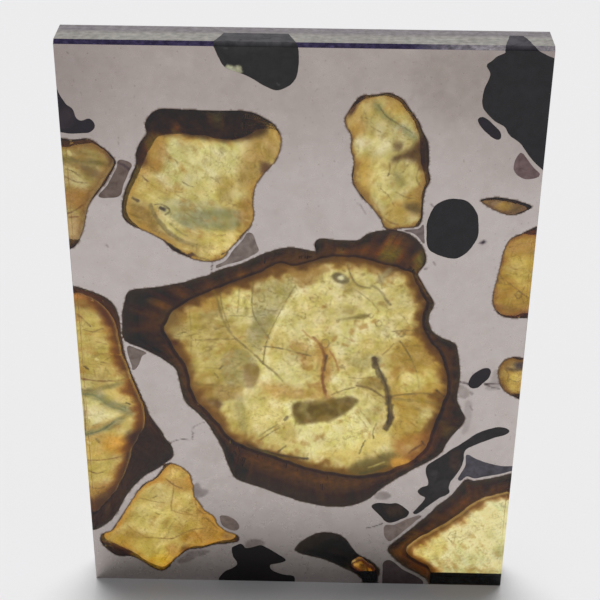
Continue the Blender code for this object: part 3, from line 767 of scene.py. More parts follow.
top_bevel, tree, shader = new_material("top_bevel", 1.0)
dark_left = ranged(tree, distance_along(tree, "X"), 0.011, 0.019, 1.0, 0.1)
tree.links.new(times(tree, (0.52, 0.48, 0.50), dark_left, (0.13, 0.11, 0.24)), shader.inputs["Base Color"])
rough_and_bumpy(tree, 1500.0, 0.20, 0.35, 0.00003)
metal.data.materials.append(top_bevel)

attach(metal, "root")
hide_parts("nickel_iron_slice")

# Clear olivine
# Each grain is a gem crystal of olivine, grown as one with the half-melted rim that stains it where it meets
# the metal; the near-black border round it is painted shade, where the pocket's wall shows through the grain.
# Cleavage planes, healed cracks and rust run through the honey-coloured middle.

OLIVINE_IOR = 1.67
CLEAVAGE_SCALE = 420.0
LEAN = 0.32  # how far the sight line climbs inside the olivine for each mm of depth
SKY = 0.69  # light that the floor sends through a crystal
SOAKED = np.array((0.95, 0.86, 0.42))  # what the olivine's absorption leaves of it
GLARE = 0.02  # light that the polished front adds
WALL_LIGHT = 0.13  # most of the light that a pocket's wall can send back
OVER_WALL = np.array((0.9, 0.86, 0.72))
DARKEST_TINT = 0.004
DARKEST_WALL = 0.002
OPEN_END = 1.8
CRYSTAL_NET = 0.13
CRYSTAL_BACK_NET = 0.22
RIM_LINE = (92, 74, 62)
PALE = (208, 198, 138)
HONEY = (190, 172, 104)
OLIVE = (150, 140, 92)
UMBER = (74, 56, 42)
# near black of the painted shade on a pocket's wall
SHADE_BLACK = (40, 33, 34)
HAIRLINE = (112, 98, 58)
GLINT = (236, 232, 205)
LIT_EDGE = (216, 210, 160)

wall_points = kdtree.KDTree(sum(len(ring) for sections, _ in walls.values() for _, ring in sections))
wall_owner = []
for name, (sections, _) in walls.items():
    for depth, ring in sections:
        for p in ring:
            wall_points.insert((p.x, depth, p.y), len(wall_owner))
            wall_owner.append(name)
wall_points.balance()
is_wall = np.zeros(len(metal_places), bool)
for face in metal.data.polygons:
    if face.material_index == POCKET:
        is_wall[list(face.vertices)] = True
pocket_of = np.array([
    wall_owner[wall_points.find(place)[1]] if here else ""
    for place, here in zip(metal_places.tolist(), is_wall)
])


def grain(name):
    """The grain as a closed piece that fills its pocket, sawn flush with the slice's faces."""
    sections, through = walls[name]
    cut = any(side_of(p, TOP - CHAMFER) for depth, ring in sections for p in ring)
    if not cut:
        return lofted(name, sections)
    made = lofted(name, run_past(sections, through))
    combined(made, "INTERSECT", block())
    return made


def in_line(places):
    """Where each point stands on the front face when the crystal is looked through as in the photograph."""
    return np.stack([places[:, 0], places[:, 2] + LEAN * (places[:, 1] - FRONT)], 1)


def turned(flat, degrees, long, short):
    """The places turned by this angle and shrunk along it and across it, for noise drawn out in lines."""
    angle = math.radians(degrees)
    along = (flat[:, 0] * math.cos(angle) + flat[:, 1] * math.sin(angle)) / long
    across = (flat[:, 1] * math.cos(angle) - flat[:, 0] * math.sin(angle)) / short
    return np.stack([along, across], 1)


def texture(look, flat):
    """The olivine's small structure: lumps, rust flecks, cleavage in three directions and thin cracks."""
    lumps = wander(flat, 1.1, 11)
    look *= (0.97 + 0.06 * wander(flat, 2.6, 12) + 0.07 * lumps + 0.05 * wander(flat, 0.42, 13))[:, None]
    look[:, 2] *= 0.98 + 0.12 * lumps
    blend(look, (150, 112, 58), 0.6 * fade(wander(flat, 0.8, 14) + 0.5 * wander(flat, 3.5, 15), 0.45, 1.1))
    blend(look, (128, 104, 58), 0.5 * fade(wander(flat, 1.7, 19) + 0.4 * wander(flat, 0.5, 20), 0.5, 1.1))
    for degrees, seed in ((-18, 16), (24, 17), (78, 18)):
        drawn = wander(turned(flat, degrees, 2.2, 0.32), 1.0, seed)
        here = fade(wander(flat, 3.2, seed + 10), -0.1, 0.5)
        blend(look, (104, 88, 50), 0.45 * fade(drawn, 0.55, 1.1) * here)
        blend(look, (222, 212, 156), 0.35 * fade(-drawn, 0.6, 1.1) * here)
    for size, seed in ((3.4, 31), (2.2, 32), (5.0, 33)):
        crack = 1 - fade(np.abs(wander(flat, size, seed)), 0.0, 0.09 / size)
        blend(look, (100, 84, 48), 0.5 * crack * fade(wander(flat, 2.4, seed + 5), -0.1, 0.4))


def crystal_look(name, flat, body, rim, areas, over, streaks):
    """The crystal's colours at places on its front face: broad ones, then with fine marks, and wall share;
    the rim and the wall carry painted shade.
    """
    sections, _ = walls[name]
    lift = Vector((0, LEAN * (sections[-1][0] - FRONT)))
    back = [p + lift for p in sections[-1][1]]
    inner = within(flat, back)
    outer = within(flat, sections[0][1])
    light, deep, lump = body
    stain, reach, wall_brown, soot_and_shade = rim
    look = np.tile(np.array(light, float), (len(flat), 1))
    blend(look, deep, fade(wander(flat, lump, 1), -0.5, 0.7))
    blend(look, OLIVE, 0.35 * fade(wander(flat, lump * 0.7, 4), 0.2, 0.8))
    for row in areas:
        patch(look, flat, *row)
    texture(look, flat)
    uneven = inner + 0.55 * reach * wander(flat, 1.6, 6) + 0.25 * wander(flat, 0.5, 7)
    blend(look, stain, 0.85 * (1 - fade(uneven, 0.2 * reach, 1.1 * reach)))
    blend(look, wall_brown, (0.4 + 0.5 * soot_and_shade) * (1 - fade(uneven, 0.0, 0.7 * reach)))
    # Painted shade: a dark brown ring just inside where the pocket's wall begins to show.
    close = inner + 0.25 * reach * wander(flat, 1.0, 8)
    blend(look, wall_brown, 0.9 * soot_and_shade * (1 - fade(close, 0.1, 0.65 * reach)))
    blend(look, UMBER, 0.85 * soot_and_shade * (1 - fade(close, -0.3, 0.35 * reach)))
    on_wall = 1 - fade(inner, -0.3, -0.05)
    share = outer / np.maximum(outer - np.minimum(inner, 0), 1e-6)
    share = np.clip(share, 0, 1) + 0.3 * wander(flat, 1.2, 9)
    # Over the pocket's wall: its brown colour, stained in places, with painted shade that darkens it to near
    # black towards the front outline.
    wall = np.tile(np.array(wall_brown, float), (len(flat), 1))
    blend(wall, UMBER, soot_and_shade * (1 - fade(share, 0.4, 1.0)))
    blend(wall, SHADE_BLACK, soot_and_shade * (1 - fade(share, 0.1, 0.7)))
    blend(wall, stain, 0.6 * fade(wander(flat, 1.3, 21), 0.3, 1.0) * fade(share, 0.4, 0.9))
    look += (wall - look) * on_wall[:, None]
    for row in over:
        patch(look, flat, *row)
    fine = look.copy()
    blend(fine, (70, 52, 44), 0.7 * (1 - fade(outer + 0.08 * wander(flat, 0.6, 3), 0.02, 0.2)))
    for row in streaks:
        streak(fine, flat, *row)
    return look, fine, on_wall


def tint_of(look):
    """The tint of clear olivine that shows as this colour with the bright floor behind it."""
    return np.clip((linear(look) - GLARE) / SKY / SOAKED, DARKEST_TINT, 1.0)


honey_olivine, tree, shader = new_material("clear_honey_olivine")
shader.inputs["Transmission Weight"].default_value = 1.0
shader.inputs["IOR"].default_value = OLIVINE_IOR
shader.inputs["Specular Tint"].default_value = (0.45, 0.45, 0.48, 1.0)
place = own_place(tree)
warp = noise_at(tree, place, CLEAVAGE_SCALE, 3.0)
bend = tree.nodes.new("ShaderNodeVectorMath")
bend.operation = "MULTIPLY_ADD"
bend.inputs[1].default_value = (0.003, 0.003, 0.003)
tree.links.new(warp.outputs["Color"], bend.inputs[0])
tree.links.new(place, bend.inputs[2])
cleavage = tree.nodes.new("ShaderNodeTexVoronoi")
cleavage.feature = "DISTANCE_TO_EDGE"
cleavage.inputs["Scale"].default_value = CLEAVAGE_SCALE
tree.links.new(bend.outputs["Vector"], cleavage.inputs["Vector"])
hairlines = ranged(tree, cleavage.outputs["Distance"], 0.0, 0.035, 0.55, 0.0)
broken = ranged(tree, object_noise(tree, 380.0, 4.0), 0.46, 0.62, 0.0, 1.0)
both = tree.nodes.new("ShaderNodeMath")
both.operation = "MULTIPLY"
tree.links.new(hairlines, both.inputs[0])
tree.links.new(broken, both.inputs[1])
mist = ranged(tree, object_noise(tree, 700.0, 7.0, 1.2), 0.42, 0.70, 0.0, 0.6)
colour = times(tree, paint_of(tree), mist, (0.78, 0.68, 0.42))
flecks = ranged(tree, object_noise(tree, 2600.0, 4.0, 0.8), 0.58, 0.72, 0.0, 0.7)
colour = times(tree, colour, flecks, (0.55, 0.42, 0.22))
tree.links.new(times(tree, colour, both.outputs[0], (0.35, 0.28, 0.15)), shader.inputs["Base Color"])
shader.inputs["Roughness"].default_value = 0.0
soak = tree.nodes.new("ShaderNodeVolumeAbsorption")
soak.inputs["Color"].default_value = (0.951, 0.866, 0.231, 1.0)
soak.inputs["Density"].default_value = 220.0
tree.links.new(soak.outputs["Volume"], tree.nodes["Material Output"].inputs["Volume"])


def clear_crystal(name, body, rim, areas, over, streaks):
    """Makes one crystal, paints both faces, and paints the wall of its pocket to match, stain and painted
    shade alike.

    body is the light colour, the deep one and the size of the lumps in mm. rim is the stain's colour, how far
    it reaches in, the wall's colour and how much painted shade darkens rim and wall. areas, over and streaks
    are painted marks.
    """
    made = grain(name)
    made.name = name.replace("olivine", "crystal")
    fill_flat(made, FRONT, CRYSTAL_NET)
    fill_flat(made, BACK, CRYSTAL_BACK_NET)
    places = places_of(made)
    look, fine, on_wall = crystal_look(name, in_line(places), body, rim, areas, over, streaks)
    tint = tint_of(look)
    rim_shade_amount = rim[3]
    at_front = places[:, 1] < FRONT + NEAR_FACE
    front_tint = tint + (OVER_WALL - tint) * (on_wall * min(1.0, 1.5 * rim_shade_amount ** 2))[:, None]
    marks = (linear(fine) / linear(look)) ** 2
    painted(made, np.where(at_front[:, None], front_tint * marks, tint))
    mine = np.flatnonzero(pocket_of == name)
    depth = metal_places[mine][:, 1]
    wall_look = crystal_look(name, in_line(metal_places[mine]), body, rim, areas, over, [])[0]
    wall_paint = np.maximum(linear(wall_look) - GLARE, DARKEST_WALL) / WALL_LIGHT
    # Painted shade: the wall darkens over its last OPEN_END mm before the back face, more so for a rim with
    # more painted shade.
    metal_paint[mine] = wall_paint * (1 - 0.6 * rim_shade_amount * fade(depth, BACK - OPEN_END, BACK)[:, None])
    metal_paint[mine[depth < FRONT + NEAR_FACE]] = linear(np.array(RIM_LINE, float)) / METAL_LIGHT
    painted(metal, metal_paint)
    made.data.materials.append(honey_olivine)
    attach(made, "root")
    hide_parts(name)


# Centre crystal
# The largest grain. One broad cleavage plane crosses it from top to bottom, with a grey-green wedge beside
# it, a dark sheet standing in the clear lower half, and a curved upright crack to the right.

clear_crystal(
    "olivine_centre",
    body=(PALE, HONEY, 3.2),
    rim=((146, 110, 56), 1.9, (92, 66, 42), 0.9),
    areas=[
        ((200, 188, 128), 1.2, 0.75, [(-2, 38), (1, 42.5), (4, 45), (8, 44.5), (12, 43.3), (14, 40),
            (13.5, 37.5), (9, 36.6), (4, 36.5), (1, 34.5), (-2, 33)]),
        ((162, 132, 62), 1.0, 0.92, [(10.6, 35), (14, 35.6), (16, 34), (16.5, 29), (16, 25), (14, 22),
            (11, 21.5), (10.8, 26), (10.3, 29)]),
        ((158, 140, 90), 0.4, 0.7, [(4.6, 43), (6.4, 43), (7, 42), (5.4, 41.4), (4.6, 42)]),
        ((180, 156, 86), 0.8, 0.7, [(-1.6, 24), (0, 23), (-0.4, 21), (-2.4, 20.6), (-3, 22.6)]),
        ((150, 124, 66), 0.6, 0.8, [(12, 34.8), (14.4, 34.6), (14.6, 32), (12, 31.8)]),
        ((205, 195, 130), 0.3, 0.8, [(14, 26.2), (15.6, 26), (15.8, 24.2), (14.6, 23.4), (14, 24)]),
        ((202, 192, 122), 0.4, 0.8, [(11.5, 30.8), (13, 31.2), (14.5, 30.2), (13.5, 28.8), (11.5, 28.7)]),
        ((204, 192, 124), 0.3, 0.7, [(14.2, 31.6), (15.4, 31.4), (16.4, 29.8), (15.2, 29.6), (14.3, 30.4)]),
        ((158, 138, 76), 1.0, 0.9, [(-14.5, 38), (-12, 40.5), (-9.5, 41.5), (-7, 38), (-6.5, 33.5),
            (-5.5, 29.5), (-9, 29), (-12.5, 29.5), (-13.5, 32), (-13, 35)]),
        ((196, 184, 116), 0.35, 0.8, [(-8.9, 42.2), (-7, 42.6), (-5.2, 41.6), (-5.6, 38.6), (-8.2, 37.9)]),
        ((186, 172, 106), 0.4, 0.75, [(-12, 35), (-9.3, 35.2), (-9, 32), (-10.6, 30.6), (-12, 31.5)]),
        ((188, 172, 104), 0.3, 0.7, [(-13.5, 38.8), (-11.6, 40.1), (-10, 41.1), (-9.6, 39.3),
            (-11.6, 38.6)]),
        ((138, 126, 82), 0.2, 0.6, [(-11.2, 38.7), (-9.4, 39.1), (-9.2, 38.4), (-11, 37.9)]),
        ((162, 152, 104), 0.25, 0.9, [(-5.2, 43.1), (-2.4, 45.1), (-0.6, 42.2), (-1.7, 40.4), (-3, 37.8),
            (-4.1, 35), (-4.8, 33.2), (-6.3, 35.6), (-5.2, 38.6)]),
        ((134, 128, 88), 0.5, 0.6, [(-5, 39), (-3.4, 39.2), (-3.4, 37.2), (-4.4, 35.6), (-5.4, 36.8)]),
        ((152, 142, 96), 0.25, 0.9, [(-8.7, 33.2), (-6.6, 33.8), (-5.2, 32.8), (-4.8, 31), (-5.6, 29),
            (-8.6, 29.1)]),
        ((128, 106, 66), 0.2, 0.85, [(-6.4, 31.6), (-5.4, 32), (-4.6, 31.2), (-5.2, 28.9), (-6.2, 29)]),
        ((140, 116, 68), 0.3, 0.9, [(-13.5, 29.2), (-9, 29), (-6.8, 28.8), (-7.2, 27), (-9.5, 26.8),
            (-11.5, 26.5), (-13.2, 27.4)]),
        ((92, 66, 50), 0.35, 0.9, [(-12, 26.6), (-9.6, 27), (-8.9, 26), (-9.8, 24.2), (-9, 22.6),
            (-10, 23.2), (-11.2, 24.8)]),
        ((186, 172, 104), 0.3, 0.8, [(-9.2, 25.8), (-7.2, 27), (-6.6, 25), (-6.3, 21.8), (-8.2, 22.4),
            (-9, 23.8)]),
        ((152, 142, 92), 0.2, 0.7, [(-7.6, 26.8), (-6.5, 27), (-6, 24), (-6, 21.6), (-6.8, 22.6)]),
        ((200, 186, 118), 0.4, 0.85, [(-6, 28.3), (-3, 29), (-1.9, 25.8), (-2, 22), (-1.4, 19.9),
            (-4.4, 21), (-6, 22), (-6.2, 25.5)]),
        ((216, 208, 142), 0.25, 0.95, [(-2.2, 26.6), (-0.6, 23.4), (0.4, 20.4), (2, 19.7), (6, 19.4),
            (8.6, 20.8), (8.4, 23), (6.6, 25.7), (5, 27.8), (2, 27.5)]),
        ((92, 76, 44), 0.2, 0.97, [(-0.7, 26.6), (1.5, 27.1), (4.2, 27.5), (5.6, 27.8), (6.6, 27.3),
            (6.2, 26.4), (5.2, 25.2), (3.6, 24.4), (1.6, 24), (-0.2, 23.8), (-0.9, 25.2)]),
        ((120, 102, 60), 0.4, 0.6, [(0.4, 24.6), (3.6, 25), (3.4, 24.4), (1.6, 24), (0, 23.9)]),
        ((168, 128, 70), 0.6, 0.65, [(-4.2, 29.6), (-1, 29), (3.4, 28.2), (3.2, 27.1), (-2, 27.5),
            (-4, 28)]),
        ((160, 112, 60), 0.4, 0.6, [(2, 35.5), (3.4, 34), (3.6, 31.5), (3.2, 29), (2.4, 28.8),
            (2.2, 31.5), (1.6, 33.5)]),
        ((164, 122, 68), 0.4, 0.5, [(-1.4, 35.2), (0.6, 34.8), (1.6, 33), (0.4, 31.4), (-0.4, 33.4)]),
        ((128, 108, 64), 0.35, 0.7, [(8.4, 30.6), (9.2, 30.4), (9.6, 28.8), (7.4, 29), (6.4, 29.4)]),
    ],
    over=[
        ((176, 142, 78), 0.5, 0.8, [(12.4, 46.4), (15, 45), (19.4, 41), (19.4, 36.6), (16.4, 36.8),
            (15, 40), (12.6, 43.4)]),
        ((132, 100, 56), 0.5, 0.3, [(-15.4, 33), (-13, 27), (-10, 22), (-8, 23.2), (-11.2, 28),
            (-13.2, 33.4)]),
        ((124, 104, 62), 0.6, 0.8, [(-15.8, 38.2), (-14.2, 39), (-13.4, 37), (-14.6, 35.4)]),
        ((104, 86, 46), 0.6, 0.7, [(2, 17), (6, 16.8), (8, 16.4), (6, 15.2), (3, 15.2)]),
        # Painted light: an orange glow in the dark lobe at the top right, on the crystal and its pocket wall.
        ((200, 130, 64), 0.6, 1.0, [(8.6, 47.2), (9.6, 47.8), (10.4, 47), (10.4, 45.8), (9.2, 45.4),
            (8.6, 46.2)]),
        ((126, 84, 50), 0.6, 0.6, [(6.2, 46.6), (8, 46.9), (8.8, 46), (7.4, 45.9)]),
        ((144, 114, 66), 0.3, 0.85, [(-1.4, 44.4), (0, 44.2), (2.4, 44.8), (3, 44.2), (0.6, 42.1),
            (-0.4, 42.3)]),
        # Painted shade: a dark strip along the grain's top edge.
        ((84, 66, 48), 0.45, 0.85, [(-2.2, 45.6), (0, 45.1), (3, 45.4), (3.4, 46.2), (0, 46.4),
            (-2, 46.4)]),
        # Painted shade: a brown band, and below it a dark band, along the grain's bottom, where the metal
        # behind shows through.
        ((104, 78, 44), 0.5, 0.85, [(-6.4, 20.5), (-3, 19.3), (1, 18.2), (5, 17.4), (8, 18),
            (10.5, 19.4), (12, 18.2), (10, 16.2), (5, 15), (0, 15.4), (-5, 17)]),
        ((62, 50, 40), 0.5, 0.8, [(-6, 18.2), (-2, 16.6), (3, 15), (8, 14.6), (10, 15), (8, 14),
            (2, 13.6), (-4, 15.4)]),
        ((92, 84, 52), 0.3, 0.8, [(6.5, 18.3), (9, 19.3), (11, 20), (11.6, 19.2), (10.2, 17.8),
            (8.2, 16.6), (6, 16.8)]),
        ((150, 100, 56), 0.5, 0.65, [(11, 21.6), (13, 22.4), (15.4, 23), (15.4, 20.8), (13.6, 18.8),
            (11.4, 19.6)]),
        ((192, 142, 66), 0.2, 0.85, [(10.9, 19.1), (12.6, 19.2), (13.2, 18.4), (12.2, 17.6), (11, 17.7)]),
        ((200, 180, 104), 0.4, 0.85, [(2, 19.6), (6, 19), (9, 20.4), (10.4, 22), (9, 22.6), (6, 20.5)]),
        ((120, 112, 74), 0.25, 0.7, [(16.5, 24.4), (17.4, 24), (17.6, 22.8), (16.8, 22.2)]),
        ((150, 138, 100), 0.12, 0.85, [(8.2, 43.2), (9.6, 44.8), (9.9, 44.2), (9.2, 43.4), (8.8, 42.6)]),
        ((88, 80, 56), 0.1, 0.85, [(3.3, 43.6), (3.7, 44), (4.4, 43.9), (5.2, 43.2), (5.1, 42.7),
            (4.1, 42.7), (3.5, 43)]),
        (GLINT, 0.06, 0.9, [(4, 43.5), (4.5, 43.6), (4.6, 43.15), (4, 43.2)]),
        ((112, 100, 60), 0.1, 0.85, [(3.9, 37.9), (5, 38.3), (7, 38.8), (7.6, 38.7), (7.5, 38.4),
            (6, 38.1), (4.6, 37.9)]),
        ((150, 132, 84), 0.25, 0.7, [(4.5, 39), (5.4, 39.7), (6, 39.3), (5.6, 38.8)]),
        ((120, 112, 80), 0.15, 0.7, [(8, 33.1), (8.6, 33.4), (9.1, 32.9), (9, 32.1), (8.3, 31.9)]),
        ((72, 50, 40), 0.2, 0.9, [(-14.5, 34.9), (-13.9, 34.9), (-13.8, 34.4), (-14.4, 34.3)]),
    ],
    streaks=[
        ((118, 104, 62), 0.3, 0.8, [(-9.8, 42), (-9.2, 40.3), (-8.8, 38.4), (-8.1, 36.6), (-7.2, 35.3),
            (-6, 34.1), (-4.8, 32.9), (-4.2, 32.1), (-3, 31), (-2, 29.8)]),
        ((98, 86, 52), 0.15, 0.7, [(-8.9, 41.5), (-8.6, 39), (-7.9, 36.8)]),
        ((104, 94, 60), 0.22, 0.8, [(-5.2, 42.8), (-5.4, 40), (-5.1, 38.2), (-4.2, 36.6), (-3.5, 35.4)]),
        ((110, 98, 62), 0.14, 0.8, [(-0.6, 42.3), (-1.6, 40.4), (-2.6, 38.2), (-3.5, 36), (-4, 34),
            (-4.2, 32)]),
        (LIT_EDGE, 0.35, 0.6, [(-0.2, 41.9), (-1.3, 40.2), (-2.2, 38), (-3.1, 35.9), (-3.6, 34),
            (-3.8, 32.4)]),
        (HAIRLINE, 0.1, 0.75, [(-12, 35), (-9.5, 35.2), (-7.3, 35.3)]),
        (HAIRLINE, 0.08, 0.7, [(-8.8, 38.2), (-7, 38.3), (-5.2, 38.2)]),
        (HAIRLINE, 0.1, 0.8, [(-12.6, 29.1), (-10, 29.05), (-8.6, 29)]),
        (HAIRLINE, 0.08, 0.7, [(-7, 37.9), (-6.9, 40), (-6.7, 42.5)]),
        (HAIRLINE, 0.1, 0.6, [(-12.3, 39), (-12.2, 36), (-12.3, 33)]),
        (HAIRLINE, 0.1, 0.6, [(-13.4, 31.3), (-11, 31.4), (-8.9, 31.3)]),
        ((96, 84, 54), 0.18, 0.8, [(-4.2, 34.4), (-2, 34.1), (0, 33.5), (1.2, 33.2)]),
        ((74, 60, 38), 0.8, 1.0, [(8.4, 32.9), (8.5, 32), (9, 31), (9.6, 29.8), (10, 28.4), (10.2, 27),
            (10.4, 25.6), (10.4, 24.6), (10, 23.4)]),
        ((52, 44, 32), 0.2, 0.95, [(8.6, 32.4), (9.2, 30.8), (9.9, 29), (10.1, 27.4), (10.2, 25.8),
            (10.1, 24)]),
        ((104, 84, 50), 0.3, 0.85, [(6.4, 29.3), (7.8, 29), (9, 28.2), (9.9, 27.5)]),
        ((108, 92, 54), 0.16, 0.8, [(3.6, 28), (5, 28.7), (6.3, 29.1)]),
        ((112, 96, 58), 0.25, 0.75, [(10.4, 28), (12.5, 28.3), (14.4, 28.4), (15.8, 28)]),
        ((128, 110, 64), 0.45, 0.6, [(10.8, 27.6), (12.8, 27.4), (14.8, 27.2), (16.6, 26.6)]),
        ((118, 98, 56), 0.12, 0.8, [(5.5, 30.4), (7, 30.3), (8.4, 30.6)]),
        ((96, 82, 52), 0.16, 0.85, [(11, 35.4), (11.6, 34.6), (12.2, 33.5), (12.7, 32.4), (13.1, 31.3)]),
        ((150, 132, 80), 0.14, 0.8, [(13.1, 31.3), (13.5, 29.4), (13.6, 27.4), (13.8, 25), (13.9, 23.2)]),
        ((112, 88, 50), 0.15, 0.8, [(10.4, 35), (9.8, 34.2), (9.2, 33.5)]),
        ((112, 70, 40), 0.4, 0.85, [(1.5, 35.6), (2.2, 34.6), (2.7, 33.3), (2.6, 31.8), (2.5, 30.4),
            (2.7, 29), (3, 27.6)]),
        ((140, 92, 50), 0.3, 0.75, [(3.3, 33.9), (3.9, 32.8), (4.3, 31.4)]),
        ((150, 104, 56), 0.25, 0.7, [(0.2, 36.6), (0.9, 35.8), (1.6, 35.2)]),
        ((150, 104, 56), 0.2, 0.7, [(-1.2, 34.4), (-0.4, 33.6), (0.6, 33.1)]),
        ((78, 62, 44), 0.35, 0.85, [(2.9, 33.3), (2.8, 32.4), (2.7, 31.4)]),
        ((110, 98, 64), 0.12, 0.85, [(2.4, 34.6), (2.4, 35.3), (3, 35.4), (3.2, 34.8), (2.8, 34.3),
            (2.4, 34.6)]),
        ((50, 42, 32), 0.22, 0.95, [(15.5, 28.9), (15.9, 28.5), (16.4, 28)]),
        ((84, 74, 46), 0.2, 0.9, [(7.6, 21.7), (7.3, 20.8), (7, 19.8)]),
        ((104, 90, 54), 0.2, 0.85, [(-4.8, 21.9), (-3.8, 22.8), (-2.7, 23.6)]),
        ((104, 90, 54), 0.16, 0.85, [(-4.6, 21.5), (-3.4, 22.5), (-2.4, 23.2)]),
        ((88, 74, 48), 0.25, 0.85, [(-2.5, 19.8), (-2, 20.3), (-1.6, 20.7)]),
        ((70, 58, 44), 0.35, 0.9, [(-1.7, 24.4), (-1.4, 24.9)]),
        ((84, 72, 46), 0.2, 0.9, [(-9.1, 31.3), (-8.8, 31.7)]),
        ((84, 72, 46), 0.2, 0.9, [(-9.7, 30.6), (-9.3, 30.1)]),
        ((58, 48, 38), 0.4, 0.9, [(-6, 20.7), (-5, 20.1), (-4, 19.8), (-2.6, 19.4), (-1, 19.1), (1, 18.9)]),
        ((104, 104, 72), 0.18, 0.7, [(-4.6, 20.1), (-3, 19.3), (-1.5, 18.9)]),
        ((150, 138, 84), 0.12, 0.8, [(6.3, 25.6), (7.1, 24.6), (7.9, 23.4)]),
        ((150, 138, 84), 0.12, 0.8, [(6.9, 25.9), (7.7, 24.8), (8.3, 23.8)]),
        ((92, 80, 50), 0.16, 0.85, [(8.9, 24.2), (8.5, 23), (8.6, 22)]),
        ((110, 98, 64), 0.25, 0.8, [(5, 45), (5.2, 44.2), (5.6, 43.2), (6.3, 42.4), (7.5, 42.1)]),
        ((98, 86, 58), 0.35, 0.85, [(7.8, 42.4), (8.4, 42), (8.9, 41.4), (9.3, 40.7), (9.8, 40.1)]),
        ((120, 104, 66), 0.22, 0.8, [(8.3, 43.9), (8.7, 42.9), (8.8, 42.1)]),
        ((132, 116, 72), 0.12, 0.8, [(5.8, 42), (6.8, 41.2), (7.8, 40.3), (8.6, 39.2)]),
        ((132, 116, 72), 0.1, 0.8, [(10.3, 41.8), (11, 42.3), (11.9, 42.9)]),
        ((96, 72, 46), 0.18, 0.9, [(3.4, 45.9), (5, 46.1), (6.5, 46), (8, 45.5), (9.5, 45), (11, 44.7),
            (12.4, 44.1), (13.2, 42.8), (14, 41.4)]),
        ((104, 88, 56), 0.14, 0.85, [(10.2, 36.6), (12, 36.8), (14.4, 36.6)]),
        ((120, 104, 64), 0.25, 0.7, [(10.6, 36.6), (11.1, 36), (11.6, 36.5)]),
        ((110, 96, 60), 0.1, 0.85, [(7.4, 38.6), (7.7, 38.9), (8, 38.6), (7.7, 38.3), (7.4, 38.6)]),
        ((120, 106, 68), 0.1, 0.8, [(8.2, 37.6), (8.6, 38), (9, 37.6), (8.6, 37.2), (8.2, 37.6)]),
        ((110, 96, 60), 0.1, 0.8, [(10.9, 36.3), (11.2, 36.6), (11.6, 36.3), (11.2, 35.9), (10.9, 36.3)]),
        ((70, 72, 48), 0.35, 0.8, [(7.2, 16.9), (8.6, 17.3), (10.2, 18.1)]),
        # Painted highlight: green-white glints low in the grain.
        ((196, 200, 160), 0.22, 0.85, [(8.2, 17.8), (9, 18.1), (9.9, 18.6)]),
        ((96, 62, 42), 0.3, 0.8, [(12.8, 20), (13.4, 20.6), (14.4, 21.4)]),
        ((50, 42, 32), 0.2, 0.9, [(14.2, 21.7), (14.6, 21.1)]),
        ((122, 104, 62), 0.12, 0.7, [(0.9, 40.9), (1.4, 40.2), (1.9, 40.8), (1.5, 41.2)]),
        ((128, 110, 66), 0.1, 0.7, [(11, 38.8), (11.5, 38.3), (11.9, 37.6)]),
        ((138, 112, 62), 0.14, 0.7, [(4.6, 36), (6, 35.2), (7.8, 35.6)]),
        ((138, 112, 62), 0.12, 0.7, [(14.6, 33), (15.4, 32), (16, 31.4)]),
        ((104, 84, 50), 0.2, 0.7, [(11, 30.2), (11.2, 30.8), (11.6, 31.2)]),
    ],
)

# Upper left crystal
# A blocky grain with a dark band along its top, where the cut runs through stained olivine, and a
# grey-green cleavage sheet low down.

